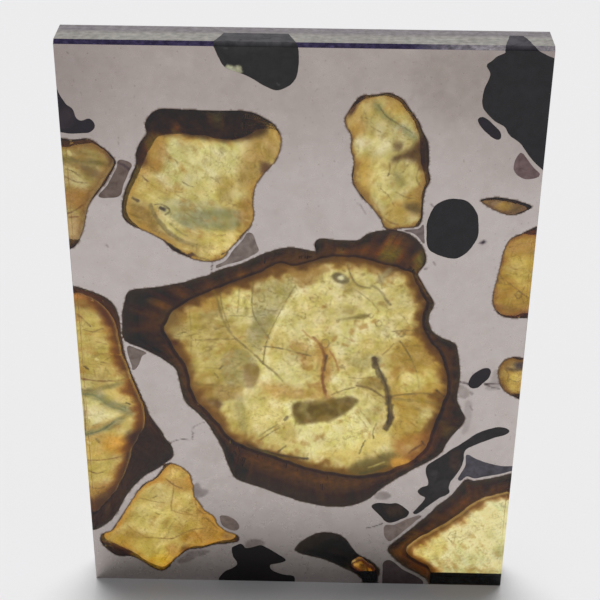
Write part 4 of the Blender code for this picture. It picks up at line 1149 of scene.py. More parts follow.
clear_crystal(
    "olivine_upper_left",
    body=((196, 184, 122), (184, 160, 94), 3.0),
    rim=((166, 132, 70), 0.7, (150, 118, 64), 0.15),
    areas=[
        ((200, 194, 138), 0.7, 0.9, [(-14.4, 59.4), (-10, 59.2), (-6.4, 58.9), (-7, 56.4), (-9, 54.6),
            (-12.5, 54), (-15.4, 55), (-14.8, 57)]),
        ((158, 118, 62), 0.4, 0.85, [(-17, 59.6), (-14.6, 59.9), (-14.3, 58), (-15, 55.9), (-17, 56)]),
        ((160, 132, 76), 0.7, 0.9, [(-5, 61.8), (-3, 61), (-2.6, 58.6), (-3.6, 56.2), (-5.4, 54),
            (-7, 54.4), (-6.4, 57), (-5.8, 59)]),
        ((172, 146, 80), 0.6, 0.7, [(-18.4, 55), (-16.6, 56), (-15.6, 54.2), (-17, 52.6), (-18.6, 53)]),
        ((140, 140, 104), 0.3, 0.9, [(-14.2, 50.8), (-12, 51.4), (-9, 51.6), (-6.6, 51.3), (-6.8, 49.5),
            (-9.4, 49), (-12.6, 49.3)]),
        ((160, 156, 116), 0.5, 0.7, [(-14.6, 52.6), (-11, 52.4), (-9, 52), (-12, 51.4), (-15, 51)]),
        ((208, 188, 116), 0.35, 0.85, [(-9.6, 48.7), (-7.4, 48.8), (-6.8, 47.6), (-8.4, 46.2),
            (-10.2, 46), (-9.9, 47.4)]),
        ((132, 106, 62), 0.5, 0.85, [(-18.7, 52.3), (-16.9, 52.2), (-15.8, 50), (-13.4, 47.6),
            (-15.4, 47.9), (-18.4, 50)]),
        ((140, 104, 58), 0.5, 0.75, [(-6.4, 53), (-5, 52.8), (-4.8, 50), (-5.8, 48.8), (-7, 50.6)]),
        ((150, 130, 76), 0.5, 0.6, [(-9.4, 55), (-8, 55.4), (-7.4, 53.2), (-8.8, 52.8)]),
    ],
    over=[
        ((62, 49, 42), 0.28, 0.97, [(-16.6, 63), (-14, 63.4), (-9, 63.2), (-5.4, 62.2), (-3.6, 60.9),
            (-4.6, 60), (-6, 59.6), (-9, 59.5), (-12, 59.9), (-15, 60.2), (-16.6, 60.4)]),
        ((150, 144, 108), 0.2, 0.9, [(-10, 62.8), (-8.6, 62.9), (-7.8, 62.4), (-8.6, 61.6), (-9.8, 62.1)]),
        ((122, 108, 74), 0.3, 0.85, [(-7.8, 62.6), (-5.4, 62.4), (-3.8, 61.4), (-2.8, 61.8),
            (-4.5, 62.9), (-7, 63)]),
        ((174, 128, 70), 0.15, 0.9, [(-13.6, 60.2), (-13.3, 61), (-12.7, 61), (-12.9, 60.3)]),
        ((84, 62, 52), 0.2, 0.9, [(-4.4, 57), (-3.4, 56.9), (-3.5, 56), (-4.3, 55.8)]),
        ((70, 50, 46), 0.25, 0.8, [(-17.4, 58.6), (-16.6, 59.4), (-16.2, 57.4), (-16.8, 56.3),
            (-17.4, 57)]),
    ],
    streaks=[
        ((110, 98, 64), 0.5, 0.7, [(-16, 51.9), (-15.5, 50.3), (-14.2, 48.6), (-12.8, 47.5), (-11.4, 47)]),
        ((52, 44, 36), 0.5, 0.9, [(-15, 51.5), (-14.6, 51.3)]),
        ((76, 66, 44), 0.18, 0.8, [(-15.6, 51.9), (-14.8, 51.9), (-14, 51.2), (-14.5, 50.7)]),
        ((80, 68, 50), 0.4, 0.8, [(-17.9, 52.6), (-17.4, 52.3)]),
        ((62, 44, 40), 0.55, 0.9, [(-14.3, 47), (-13.4, 46.3), (-12.4, 45.8), (-11.8, 45.9)]),
        ((98, 78, 48), 0.2, 0.8, [(-11.8, 45.9), (-10.8, 45.5), (-10, 45.3)]),
        ((128, 116, 70), 0.12, 0.75, [(-14, 53.8), (-13.2, 53.4), (-12.6, 53.4)]),
        ((112, 104, 66), 0.14, 0.8, [(-12.6, 54.6), (-12, 54.2), (-11.4, 54)]),
        ((128, 116, 70), 0.1, 0.75, [(-13.3, 53.1), (-12.4, 52.6), (-11.6, 52.3)]),
        ((128, 116, 70), 0.12, 0.75, [(-9.6, 55.2), (-9.1, 54.9), (-8.6, 54.4)]),
        ((120, 112, 66), 0.14, 0.8, [(-13.8, 57.4), (-13.2, 57.1), (-13, 56.6)]),
        ((150, 140, 92), 0.1, 0.7, [(-9.6, 58.8), (-9.5, 57.6), (-9.6, 56.5)]),
        ((130, 116, 66), 0.14, 0.75, [(-5.9, 58.1), (-5.4, 58.4), (-5, 58.1), (-5.4, 57.7)]),
        ((134, 112, 64), 0.14, 0.7, [(-9.6, 48.7), (-9, 48.3), (-8.2, 48.4)]),
        ((118, 104, 62), 0.14, 0.7, [(-12.2, 50.9), (-11.4, 50.3), (-10.6, 50.4)]),
        ((120, 112, 78), 0.2, 0.6, [(-14, 49.6), (-13, 48.6), (-12.2, 48.2)]),
        ((48, 40, 42), 0.14, 0.9, [(-5.9, 49), (-6.8, 47.8), (-7.3, 47), (-7.8, 46.5), (-8.6, 46)]),
        ((96, 72, 50), 0.2, 0.8, [(-16.8, 55.2), (-16.2, 54.6)]),
    ],
)

# Upper middle crystal
# A tall grain of olivine, held in its pocket all round. A grey-green cleavage sheet runs down it aslant,
# and a brown stain enters from the right.

clear_crystal(
    "olivine_upper_middle",
    body=((182, 170, 116), (176, 154, 90), 2.6),
    rim=((150, 116, 64), 0.7, (124, 98, 58), 0.3),
    areas=[
        ((176, 138, 76), 0.5, 0.75, [(4.8, 62.6), (5.8, 63), (6.6, 61.4), (5.6, 60.4), (4.8, 61)]),
        ((180, 146, 84), 0.5, 0.75, [(8.6, 64.6), (10.2, 64.2), (10.8, 63), (9.6, 62.9), (8.8, 63.6)]),
        ((206, 198, 146), 0.5, 0.85, [(5.4, 60), (7, 60.4), (9.2, 59.6), (9, 58.6), (6.4, 58.2),
            (5.2, 58.6)]),
        ((196, 190, 136), 0.4, 0.7, [(9.4, 62.8), (11.4, 61.6), (11, 60.9), (9.6, 62)]),
        ((126, 128, 92), 0.25, 0.9, [(7, 64.2), (7.7, 64), (8.4, 63), (9.5, 62.1), (11.2, 61),
            (12.1, 60.3), (11.6, 59.8), (10.2, 60.9), (8.6, 61.9), (7.6, 63)]),
        ((204, 192, 122), 0.5, 0.85, [(7.2, 57.6), (9, 57.4), (9.4, 55), (9.4, 52.8), (8.2, 52.8),
            (7.4, 55)]),
        ((186, 150, 82), 0.5, 0.8, [(5.6, 57.8), (7, 57.6), (7, 54.6), (6.4, 53.4), (5.8, 55.4)]),
        ((184, 172, 104), 0.3, 0.8, [(9.4, 57.2), (11, 57.5), (12.4, 56), (12.2, 54.4), (10.6, 54),
            (9.6, 55.4)]),
        ((132, 124, 82), 0.25, 0.75, [(9.6, 56.3), (10.4, 55.8), (10.9, 54.6), (10.4, 54.4), (9.8, 55.2)]),
        ((164, 138, 74), 0.4, 0.85, [(9, 52.6), (10.6, 52.6), (11.4, 50.6), (9.6, 50.2), (8.8, 51.2)]),
        ((150, 118, 64), 0.4, 0.7, [(11, 54), (12.6, 54.4), (12.6, 52), (11.8, 50.8), (11.2, 52.2)]),
    ],
    over=[
        ((78, 60, 44), 0.3, 0.97, [(9.3, 57.9), (10.4, 58.3), (11.2, 59.2), (12.4, 60), (13.2, 59),
            (13.2, 57), (12.6, 56.4), (12, 57.2), (10.8, 57.8), (9.6, 57.4)]),
        ((84, 66, 46), 0.18, 0.8, [(9.4, 59.6), (10.2, 59.6), (10.4, 58.7), (9.6, 58.6)]),
        ((66, 48, 48), 0.15, 0.85, [(4.6, 62.6), (5.6, 64.4), (6.2, 64.7), (5.4, 63.4), (5, 62.6)]),
        ((86, 74, 50), 0.2, 0.8, [(10.8, 52.4), (12.2, 52.6), (12.6, 51.4), (11.4, 51.6)]),
    ],
    streaks=[
        ((84, 86, 58), 0.16, 0.8, [(7.6, 63.6), (8.6, 62.3), (9.8, 61.5), (11.2, 60.6)]),
        (HAIRLINE, 0.1, 0.7, [(6.2, 63), (6.8, 61.4), (8, 60.6)]),
        (HAIRLINE, 0.14, 0.8, [(9, 57.2), (9.1, 56.4), (8.9, 55.6)]),
        ((90, 76, 50), 0.16, 0.8, [(12.3, 57), (11.9, 55.6), (12.3, 54.6)]),
        (HAIRLINE, 0.1, 0.7, [(8.2, 54.2), (9.2, 53.2), (9.8, 52)]),
        (HAIRLINE, 0.12, 0.7, [(9.8, 53.8), (11, 53.2), (12, 53)]),
        ((120, 90, 54), 0.2, 0.7, [(8.4, 51), (9.4, 50.2), (10.2, 50)]),
    ],
)

# Left edge crystal
# Sawn through at the slice's left edge. Two grey-green sheets cross in it like a lying X, with clear olivine
# between them, and the cut thickens to a black wedge on its lower right.

clear_crystal(
    "olivine_left_edge",
    body=((192, 174, 108), (178, 150, 86), 2.8),
    rim=((140, 92, 48), 1.6, (92, 60, 42), 0.7),
    areas=[
        ((182, 164, 94), 0.8, 0.7, [(-25, 38), (-22, 37.6), (-20.8, 34), (-20, 30.4), (-25, 30)]),
        ((120, 106, 68), 0.3, 0.8, [(-25, 40), (-23.4, 40), (-23.2, 39.1), (-25, 39)]),
        ((206, 198, 142), 0.25, 0.9, [(-25, 27), (-23.6, 26.8), (-22.4, 25.4), (-21.2, 24.6),
            (-22.4, 23.8), (-25, 23)]),
        ((192, 178, 116), 0.35, 0.8, [(-25, 29.8), (-22, 29.6), (-23, 28.7), (-25, 28.2)]),
        ((120, 118, 84), 0.25, 0.9, [(-25, 28), (-23.4, 28), (-21.8, 26.6), (-20.2, 26), (-19, 25.6),
            (-19.4, 24.4), (-21, 24.9), (-22.6, 25.8), (-24, 26.9), (-25, 27.1)]),
        ((132, 124, 84), 0.2, 0.85, [(-24.8, 27.9), (-22, 28.8), (-20, 29.3), (-20, 28.8), (-22, 28.1),
            (-24, 27.5)]),
        ((124, 124, 88), 0.2, 0.9, [(-25, 22.2), (-23, 22.9), (-21.4, 24.2), (-20.4, 24.4),
            (-20.8, 23.4), (-22.6, 22.3), (-25, 21.5)]),
        ((196, 172, 98), 0.5, 0.8, [(-22.4, 28), (-20, 28.6), (-18.8, 27.4), (-18.6, 25.8), (-20.4, 26.4)]),
        ((190, 138, 58), 0.6, 0.9, [(-23.2, 21.3), (-20.6, 21.6), (-20.2, 19.4), (-22.6, 19.2)]),
        ((196, 166, 90), 0.5, 0.8, [(-25, 20.6), (-23.6, 20.9), (-23.4, 18.6), (-25, 18.2)]),
        ((190, 170, 96), 0.5, 0.8, [(-25, 17.8), (-22, 18), (-21.4, 16), (-23, 14.6), (-25, 14.6)]),
        ((156, 118, 66), 0.5, 0.8, [(-25, 14.4), (-23.2, 14.4), (-22.8, 13), (-25, 12.6)]),
    ],
    over=[
        ((176, 124, 70), 0.3, 0.85, [(-25, 40.9), (-24, 41), (-23, 40.6), (-23.2, 40.1), (-25, 40.2)]),
        ((78, 52, 44), 0.5, 0.95, [(-25, 42), (-22.6, 41.2), (-20.8, 39.2), (-20, 35.4), (-21.8, 37),
            (-23, 39.9), (-25, 41.2)]),
        ((58, 48, 46), 0.5, 0.95, [(-20.4, 21.8), (-18.4, 22.8), (-16.8, 22), (-15.4, 19), (-18, 17),
            (-20.4, 15), (-20.6, 18), (-19.8, 20.2)]),
        ((70, 54, 46), 0.6, 0.95, [(-20.4, 17), (-20.4, 13.4), (-22.6, 10.2), (-24.2, 8.8), (-25, 9.8),
            (-24.6, 12.4), (-22, 14.4), (-21.2, 16.4)]),
        ((160, 146, 110), 0.15, 0.7, [(-23.4, 10.6), (-22.8, 11.4), (-22.2, 12), (-22.6, 11)]),
    ],
    streaks=[
        ((112, 78, 46), 0.22, 0.85, [(-25, 29.6), (-22.4, 29.3), (-20.4, 29.5), (-19, 29.9)]),
        ((96, 104, 74), 0.2, 0.8, [(-24.8, 27.5), (-23.4, 27.3), (-22, 26), (-20.4, 25.4)]),
        ((150, 150, 112), 0.14, 0.7, [(-21.4, 26.4), (-20.2, 25.5), (-19.4, 25.3)]),
        ((88, 96, 70), 0.22, 0.85, [(-25, 21.8), (-23.6, 22.2), (-22.4, 22.9), (-21.4, 23.8)]),
        (GLINT, 0.25, 0.95, [(-23, 32.3), (-22.8, 32.2)]),
        (GLINT, 0.3, 0.95, [(-24.7, 20.7), (-24.5, 20.6)]),
        (GLINT, 0.15, 0.9, [(-23, 40), (-22.9, 39.9)]),
        ((110, 86, 48), 0.2, 0.85, [(-22.5, 31.9), (-22, 31.8)]),
        ((86, 68, 42), 0.25, 0.85, [(-24.4, 31.3), (-24, 30.9)]),
        ((140, 112, 60), 0.12, 0.8, [(-22.4, 33), (-21.2, 33), (-20.2, 32.9)]),
        ((134, 106, 58), 0.12, 0.8, [(-23.4, 31), (-23.2, 29.8)]),
        ((120, 92, 50), 0.14, 0.8, [(-22, 32.2), (-21, 32.7), (-20.2, 33)]),
        ((70, 56, 38), 0.3, 0.85, [(-23.7, 21.2), (-23.4, 20.8)]),
        ((120, 84, 48), 0.16, 0.85, [(-25, 18.1), (-23, 18.2), (-21.4, 18.6), (-20.4, 19)]),
        ((100, 72, 46), 0.16, 0.85, [(-25, 16.6), (-24, 16.2), (-23.2, 16.4)]),
        ((100, 72, 46), 0.16, 0.85, [(-25, 14.2), (-24, 13.9), (-23.2, 14.2)]),
        ((96, 74, 48), 0.18, 0.8, [(-25, 38.4), (-24, 37.4), (-23.4, 36.6)]),
        ((120, 96, 56), 0.14, 0.8, [(-24.2, 36.2), (-23.2, 35.9), (-22, 36.4)]),
        ((128, 98, 56), 0.14, 0.8, [(-22.8, 34.6), (-21.8, 34.3)]),
        ((66, 52, 38), 0.2, 0.85, [(-19.9, 26.4), (-19.5, 26.2)]),
        ((66, 50, 40), 0.25, 0.85, [(-18.4, 22.5), (-17.9, 22.4)]),
        ((96, 74, 46), 0.2, 0.8, [(-24.8, 26.8), (-24.8, 24), (-24.9, 22.4)]),
    ],
)

# Left upper crystal
# Olivine sawn through at the slice's left edge, striped by cleavage sheets that lie nearly level. Only its
# right half is left in the slice.

clear_crystal(
    "olivine_left_upper",
    body=((162, 146, 94), (146, 124, 76), 2.0),
    rim=((138, 104, 58), 0.7, (112, 86, 56), 0.4),
    areas=[
        ((112, 92, 60), 0.2, 0.8, [(-25, 59.3), (-22, 59), (-20.8, 58), (-22.6, 58.3), (-25, 58.8)]),
        ((122, 104, 62), 0.15, 0.75, [(-24, 58.2), (-22, 57.9), (-20.6, 57.4), (-22, 57.5), (-24, 57.8)]),
        ((104, 94, 62), 0.18, 0.85, [(-25, 57.3), (-23, 57.3), (-20.6, 56.9), (-20.8, 56.4), (-23, 56.7),
            (-25, 56.8)]),
        ((100, 84, 60), 0.3, 0.85, [(-23.6, 56.5), (-22, 56.2), (-21.2, 55.4), (-22.4, 55), (-23.4, 55.6)]),
        ((184, 172, 120), 0.3, 0.85, [(-24.8, 56.2), (-23.8, 56.2), (-22.8, 54.8), (-23.2, 53.8),
            (-24.8, 54.4)]),
        ((148, 104, 56), 0.4, 0.8, [(-25, 53.4), (-23, 53.6), (-21.8, 53.8), (-22.4, 52), (-25, 51.4)]),
        ((196, 180, 122), 0.2, 0.9, [(-24.9, 49.6), (-23.7, 49.6), (-24, 47.6), (-24.9, 47)]),
    ],
    over=[
        ((166, 140, 100), 0.25, 0.85, [(-25, 50.6), (-24, 50.4), (-24.1, 47.8), (-25, 47.2)]),
        ((66, 50, 46), 0.25, 0.85, [(-20.4, 58.4), (-19.6, 57.4), (-19.8, 56.2), (-20.4, 56.8)]),
    ],
    streaks=[
        (GLINT, 0.4, 0.95, [(-24.3, 57.9), (-24.2, 57.6)]),
        ((96, 76, 48), 0.14, 0.85, [(-25, 55.1), (-23.8, 54.4), (-22.6, 54.3)]),
        ((88, 58, 40), 0.2, 0.85, [(-25, 50.6), (-24, 51.1), (-23.2, 51.7)]),
        ((110, 72, 44), 0.18, 0.85, [(-24.8, 50.2), (-23.8, 50.3)]),
        ((110, 92, 56), 0.12, 0.8, [(-24.4, 58.6), (-22.8, 58.7), (-21.4, 58.4)]),
        ((108, 88, 54), 0.14, 0.8, [(-24.8, 55.9), (-24, 55.6), (-23.3, 55)]),
    ],
)

# Bottom left crystal
# A ragged grain of honey-coloured olivine with brown veins, all of it inside the slice. Its lower side
# breaks up into orange crumbs.

clear_crystal(
    "olivine_bottom_left",
    body=((194, 176, 108), (176, 148, 80), 2.4),
    rim=((184, 138, 64), 0.8, (158, 114, 56), 0.15),
    areas=[
        ((194, 178, 112), 0.5, 0.7, [(-19.4, 13.4), (-17, 14.8), (-15.4, 14), (-15.2, 12), (-18.4, 11.8)]),
        ((200, 184, 116), 0.5, 0.85, [(-19.2, 11.6), (-16.4, 11.4), (-14, 9), (-14.8, 7.4), (-18.6, 7.2),
            (-20.4, 8.4)]),
        ((176, 138, 72), 0.4, 0.8, [(-15.8, 17.6), (-13.4, 17), (-12.8, 14.2), (-14.2, 13.4),
            (-15.6, 14.8)]),
        ((206, 182, 110), 0.3, 0.7, [(-15.2, 17), (-14, 16.6), (-14, 15.6), (-15.6, 15.4)]),
        ((196, 176, 102), 0.3, 0.8, [(-14.9, 13.2), (-12.8, 13), (-12.2, 11), (-14.8, 10.8)]),
        ((156, 118, 58), 0.4, 0.85, [(-12.2, 11.4), (-10.2, 9.6), (-10, 8), (-12, 8.4)]),
        ((160, 116, 54), 0.4, 0.85, [(-14.4, 6.8), (-12, 7.8), (-9.4, 7.8), (-8.6, 6.6), (-11, 5.8),
            (-14, 5.6)]),
        ((140, 114, 54), 0.4, 0.85, [(-20.6, 7), (-18, 6.7), (-17.6, 5.3), (-20.2, 5.1)]),
        ((164, 134, 60), 0.5, 0.9, [(-23.6, 7.4), (-20, 6), (-18.6, 4), (-20, 4.2), (-23, 5.8)]),
        ((196, 178, 102), 0.4, 0.85, [(-20, 6), (-16.4, 5.8), (-15.6, 4), (-18, 3.2), (-19.6, 4.4)]),
        ((192, 156, 60), 0.35, 0.85, [(-18.4, 3.4), (-16, 3.8), (-15.8, 2.2), (-17.2, 1.6)]),
        ((170, 132, 78), 0.3, 0.8, [(-16.4, 5), (-15, 5.4), (-14.4, 4), (-15.4, 3.2)]),
    ],
    over=[
        ((64, 50, 44), 0.25, 0.9, [(-24, 5.6), (-22.8, 5.2), (-20.6, 4), (-21.6, 3.6), (-23.4, 4.3)]),
        ((84, 60, 44), 0.2, 0.7, [(-14.4, 5.2), (-13.4, 5.2), (-13.6, 4.2), (-14.4, 3.6)]),
        ((122, 90, 60), 0.3, 0.75, [(-9.2, 7.4), (-7.8, 7), (-7.6, 6.4), (-9, 6.3)]),
    ],
    streaks=[
        ((128, 98, 50), 0.22, 0.85, [(-18.6, 6.6), (-17, 6.5), (-15.4, 6.5), (-14.5, 7), (-13, 7.9),
            (-11.4, 8.2)]),
        ((120, 92, 50), 0.16, 0.85, [(-14.9, 15), (-15, 13.4), (-15.3, 11.8), (-15.3, 10.8)]),
        ((110, 84, 46), 0.2, 0.8, [(-15.8, 15.6), (-14.9, 14.7), (-13.9, 14.2)]),
        ((138, 116, 66), 0.14, 0.8, [(-19, 12.6), (-17.6, 12.2), (-16.2, 12)]),
        ((108, 92, 48), 0.2, 0.85, [(-17.4, 12.7), (-17, 13)]),
        ((128, 116, 62), 0.2, 0.8, [(-17.2, 10.4), (-16.8, 10.2)]),
        ((124, 92, 48), 0.16, 0.8, [(-15.3, 10.9), (-14.2, 10.4), (-12.8, 10.2)]),
        ((140, 112, 58), 0.12, 0.8, [(-15, 9.6), (-14.4, 9), (-14, 8.4)]),
        ((112, 76, 40), 0.25, 0.85, [(-11.2, 9.8), (-10.4, 9), (-9.9, 8.3)]),
        ((146, 116, 58), 0.14, 0.75, [(-20.8, 8.6), (-20, 7.6), (-18.8, 6.8)]),
        ((116, 84, 46), 0.16, 0.75, [(-12.4, 12.6), (-12.2, 11.2), (-11.4, 10.4)]),
        ((150, 112, 54), 0.16, 0.8, [(-16.2, 5.2), (-15.8, 4.2), (-16.4, 3.2)]),
        ((140, 100, 50), 0.2, 0.8, [(-12.6, 7.6), (-12, 6.6), (-11.8, 6)]),
    ],
)

# Bottom right crystal
# The clearest olivine of all, pale yellow-green, sawn off at the right and bottom edges of the slice. A
# brown stain follows the metal on its upper left.

clear_crystal(
    "olivine_bottom_right",
    body=((226, 224, 178), (220, 212, 158), 3.4),
    rim=((186, 140, 74), 1.3, (104, 72, 46), 0.9),
    areas=[
        ((228, 236, 196), 0.9, 0.85, [(20, 13), (25, 14.4), (25, 9.6), (22.6, 9.4), (20.4, 10.8)]),
        ((226, 212, 164), 0.8, 0.6, [(20, 10), (23, 9.4), (22.4, 6.4), (20, 7)]),
        ((196, 180, 106), 0.9, 0.8, [(13.2, 6), (16, 8.4), (18, 6), (17, 3.4), (14.4, 3.4)]),
        ((176, 168, 108), 0.5, 0.6, [(16.4, 4.6), (17.4, 5), (17.6, 2.4), (16.8, 2.4)]),
        ((214, 212, 152), 0.6, 0.85, [(18, 4.6), (22.4, 5), (22.8, 2.8), (18.2, 2.6)]),
        ((180, 176, 124), 0.3, 0.8, [(19, 2.6), (22, 2.1), (25, 2.2), (25, 1.4), (21, 1.4), (18.4, 1.8)]),
        ((220, 218, 160), 0.15, 0.9, [(16.6, 1), (25, 1.1), (25, 0.35), (16.4, 0.3)]),
        ((164, 160, 112), 0.4, 0.7, [(24, 5.6), (25, 5.8), (25, 4), (24.2, 4.2)]),
    ],
    over=[
        ((126, 92, 58), 0.3, 0.85, [(11.4, 4.4), (12.8, 6.4), (14.6, 8), (15, 7), (13.6, 5.2),
            (12.4, 3.8)]),
        ((104, 70, 46), 0.5, 0.85, [(13.4, 3.6), (15, 3.2), (16, 2), (15.9, 0.2), (14.6, 0.2),
            (13.6, 1.6)]),
    ],
    streaks=[
        ((140, 124, 74), 0.12, 0.85, [(18, 7.5), (18.5, 6.9), (18.8, 6.5), (18.9, 7.4), (19, 8.5)]),
        ((168, 152, 100), 0.1, 0.8, [(18, 7.6), (18.4, 8.2), (18.9, 8.5)]),
        ((170, 148, 88), 0.35, 0.7, [(21, 7.8), (21.3, 7.6)]),
        ((166, 150, 94), 0.3, 0.7, [(17.4, 2.9), (17.8, 2.7)]),
        ((150, 140, 84), 0.25, 0.75, [(22.8, 3.2), (23.1, 3)]),
        ((150, 140, 90), 0.3, 0.75, [(24.4, 5.2), (24.7, 4.7)]),
        ((160, 148, 96), 0.2, 0.7, [(20.9, 4), (21.2, 4.3)]),
        ((170, 150, 84), 0.25, 0.7, [(14.8, 6.2), (15.2, 6)]),
        ((176, 168, 112), 0.12, 0.8, [(18.6, 2.7), (20.6, 2.2), (23, 2.3)]),
        ((156, 148, 96), 0.14, 0.8, [(16.8, 1.25), (20, 1.35), (24.9, 1.3)]),
        ((130, 104, 56), 0.2, 0.8, [(18.2, 0.6), (18.5, 0.4)]),
    ],
)

# Right edge crystal
# Amber olivine, sawn through by the slice's right edge, with one brown crack across it. It is more evenly
# stained than the large grains.

clear_crystal(
    "olivine_right_edge",
    body=((172, 144, 72), (156, 124, 60), 2.4),
    rim=((140, 98, 56), 0.6, (120, 86, 54), 0.35),
    areas=[
        ((170, 132, 78), 0.5, 0.7, [(22.4, 48.2), (25, 48.6), (25, 46.8), (22.4, 46.6)]),
        ((192, 170, 96), 0.5, 0.8, [(22.2, 46), (24.6, 46), (24.6, 42.6), (23, 43.6)]),
        ((160, 128, 70), 0.5, 0.8, [(21.6, 43), (23.4, 42.6), (24.8, 40.4), (22.6, 39.8), (21.4, 41)]),
        ((132, 100, 64), 0.4, 0.8, [(21.6, 40.2), (25, 40), (25, 38.8), (22.8, 38.8)]),
    ],
    over=[],
    streaks=[
        ((112, 80, 48), 0.16, 0.85, [(21.5, 43.9), (22.6, 43), (23.6, 42.2), (24.8, 41.2)]),
        ((96, 72, 48), 0.14, 0.85, [(23.3, 41.6), (23.7, 42), (24.1, 41.6), (23.7, 41.1), (23.3, 41.6)]),
        ((120, 92, 52), 0.14, 0.8, [(24.3, 42.6), (24, 41.6), (24.4, 40.6)]),
        ((78, 52, 42), 0.25, 0.85, [(21.3, 43.4), (21.5, 43)]),
        ((150, 118, 60), 0.12, 0.7, [(22, 45.4), (23, 44.8), (24, 44.6)]),
    ],
)

# Small right crystal
# A small round grain of olivine at the right edge, sawn through. Its upper half is sooty and the lower one
# amber.

clear_crystal(
    "olivine_right_small",
    body=((178, 150, 84), (144, 116, 64), 1.4),
    rim=((124, 90, 50), 0.5, (104, 78, 50), 0.5),
    areas=[
        ((112, 90, 62), 0.3, 0.8, [(22.8, 33), (24.4, 33.4), (24, 32.2), (22.8, 31.8)]),
        ((202, 174, 96), 0.4, 0.9, [(23.6, 31), (24.8, 31.4), (24.8, 29.6), (23.8, 29.4)]),
    ],
    over=[
        ((58, 54, 62), 0.15, 0.9, [(24.2, 32.6), (25, 32.8), (25, 31.8), (24.4, 31.8)]),
        ((70, 56, 48), 0.15, 0.8, [(23.6, 32), (24.4, 31.8), (24.2, 31.5), (23.6, 31.7)]),
    ],
    streaks=[
        ((108, 82, 50), 0.14, 0.85, [(23.1, 31.9), (23.5, 31.2), (23.4, 30.4)]),
        (HAIRLINE, 0.1, 0.8, [(23.6, 30.6), (24.4, 30.2), (24.9, 30.4)]),
    ],
)

# Lens crystal
# A thin lens of olivine with metal all round it, yellow at its left end and smoky towards its right tip.
# It is too small to show any cleavage.

clear_crystal(
    "olivine_lens",
    body=((140, 112, 66), (118, 92, 58), 1.4),
    rim=((112, 88, 66), 0.35, (96, 76, 60), 0.3),
    areas=[
        ((166, 138, 78), 0.25, 0.8, [(20.8, 53), (22.4, 52.9), (22.2, 52), (21, 52.2)]),
        ((88, 74, 62), 0.3, 0.9, [(22.6, 52.8), (24.4, 52.4), (23.6, 51.8), (22, 51.6), (22.2, 52.2)]),
        ((100, 80, 64), 0.2, 0.8, [(19.4, 52.9), (20.8, 53.2), (20.8, 52.7), (20, 52.3)]),
    ],
    over=[],
    streaks=[
        ((120, 96, 58), 0.12, 0.8, [(21.6, 52.9), (22, 52.3), (22, 51.8)]),
        ((96, 74, 58), 0.14, 0.8, [(19.8, 52.4), (21, 51.8), (22.4, 51.6)]),
    ],
)

# Bottom middle crystal
# Olivine sawn off at the bottom edge. The left part is black with stain, and on the right a cluster of
# orange crumbs lets light through.

clear_crystal(
    "olivine_bottom_middle",
    body=((96, 62, 40), (60, 38, 30), 1.0),
    rim=((120, 74, 40), 0.6, (50, 34, 30), 1.0),
    areas=[
        ((34, 30, 32), 0.6, 0.95, [(-0.4, 6), (2, 8), (4.6, 7.8), (6.4, 5.8), (7, 4.4), (5.4, 2.8),
            (3, 3.6), (0, 4.8)]),
        ((190, 138, 66), 0.2, 0.9, [(7.4, 3.9), (8.4, 4), (8.8, 3.2), (7.9, 2.9)]),
        ((206, 160, 84), 0.15, 0.9, [(6.7, 3.1), (7.5, 3.2), (7.6, 2.3), (6.9, 2.2)]),
        ((180, 124, 48), 0.2, 0.9, [(8.6, 2.4), (9.8, 2.8), (10, 1.7), (8.8, 1.3)]),
        ((176, 130, 56), 0.2, 0.85, [(8, 1.4), (9.4, 1.4), (9.4, 0.5), (8.2, 0.5)]),
    ],
    over=[
        ((33, 29, 31), 0.5, 0.95, [(-0.4, 6), (2, 8), (4.6, 7.8), (6.2, 6), (6.6, 4.6), (5.2, 3),
            (3, 3.6), (0, 4.8)]),
        ((66, 62, 62), 0.4, 0.7, [(4.4, 5), (5.6, 5), (5.2, 4), (4.4, 4.2)]),
    ],
    streaks=[
        ((40, 20, 12), 0.2, 0.9, [(7.6, 2.9), (8.4, 2.6), (8.6, 1.4)]),
        ((70, 36, 16), 0.18, 0.8, [(9, 3), (9.6, 3.2)]),
    ],
)

# Dark olivine
# Grains that are too stained or too thick for light to cross. Polished with the rest, they look like black
# glass, with brown where the stain thins, small light flecks, and a painted highlight on the top grain.

GRAIN_NET = 0.16
GRAIN_LIGHT = 0.80


def opaque_grain(name, tone, lump, patches, streaks, skin):
    """Makes an opaque grain and paints its face."""
    made = grain(name)
    made.name = f"grain_{name}"
    fill_flat(made, FRONT, GRAIN_NET)
    flat = places_of(made)[:, [0, 2]]
    look = np.tile(np.array(tone, float), (len(flat), 1))
    look *= 1 + lump * wander(flat, 1.3, 2)[:, None]
    for row in patches:
        patch(look, flat, *row)
    for row in streaks:
        streak(look, flat, *row)
    painted(made, linear(look) / GRAIN_LIGHT)
    made.data.materials.append(skin)
    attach(made, "root")
    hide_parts(name)


dark_skin, tree, shader = new_material("dark_olivine")
shader.inputs["IOR"].default_value = 1.4
soot_and_shade = ranged(tree, object_noise(tree, 900.0, 6.0, 0.8), 0.4, 0.68, 0.0, 0.8)
tree.links.new(times(tree, paint_of(tree), soot_and_shade, (0.35, 0.35, 0.4)), shader.inputs["Base Color"])
rough_and_bumpy(tree, 1200.0, 0.10, 0.24, 0.00002)

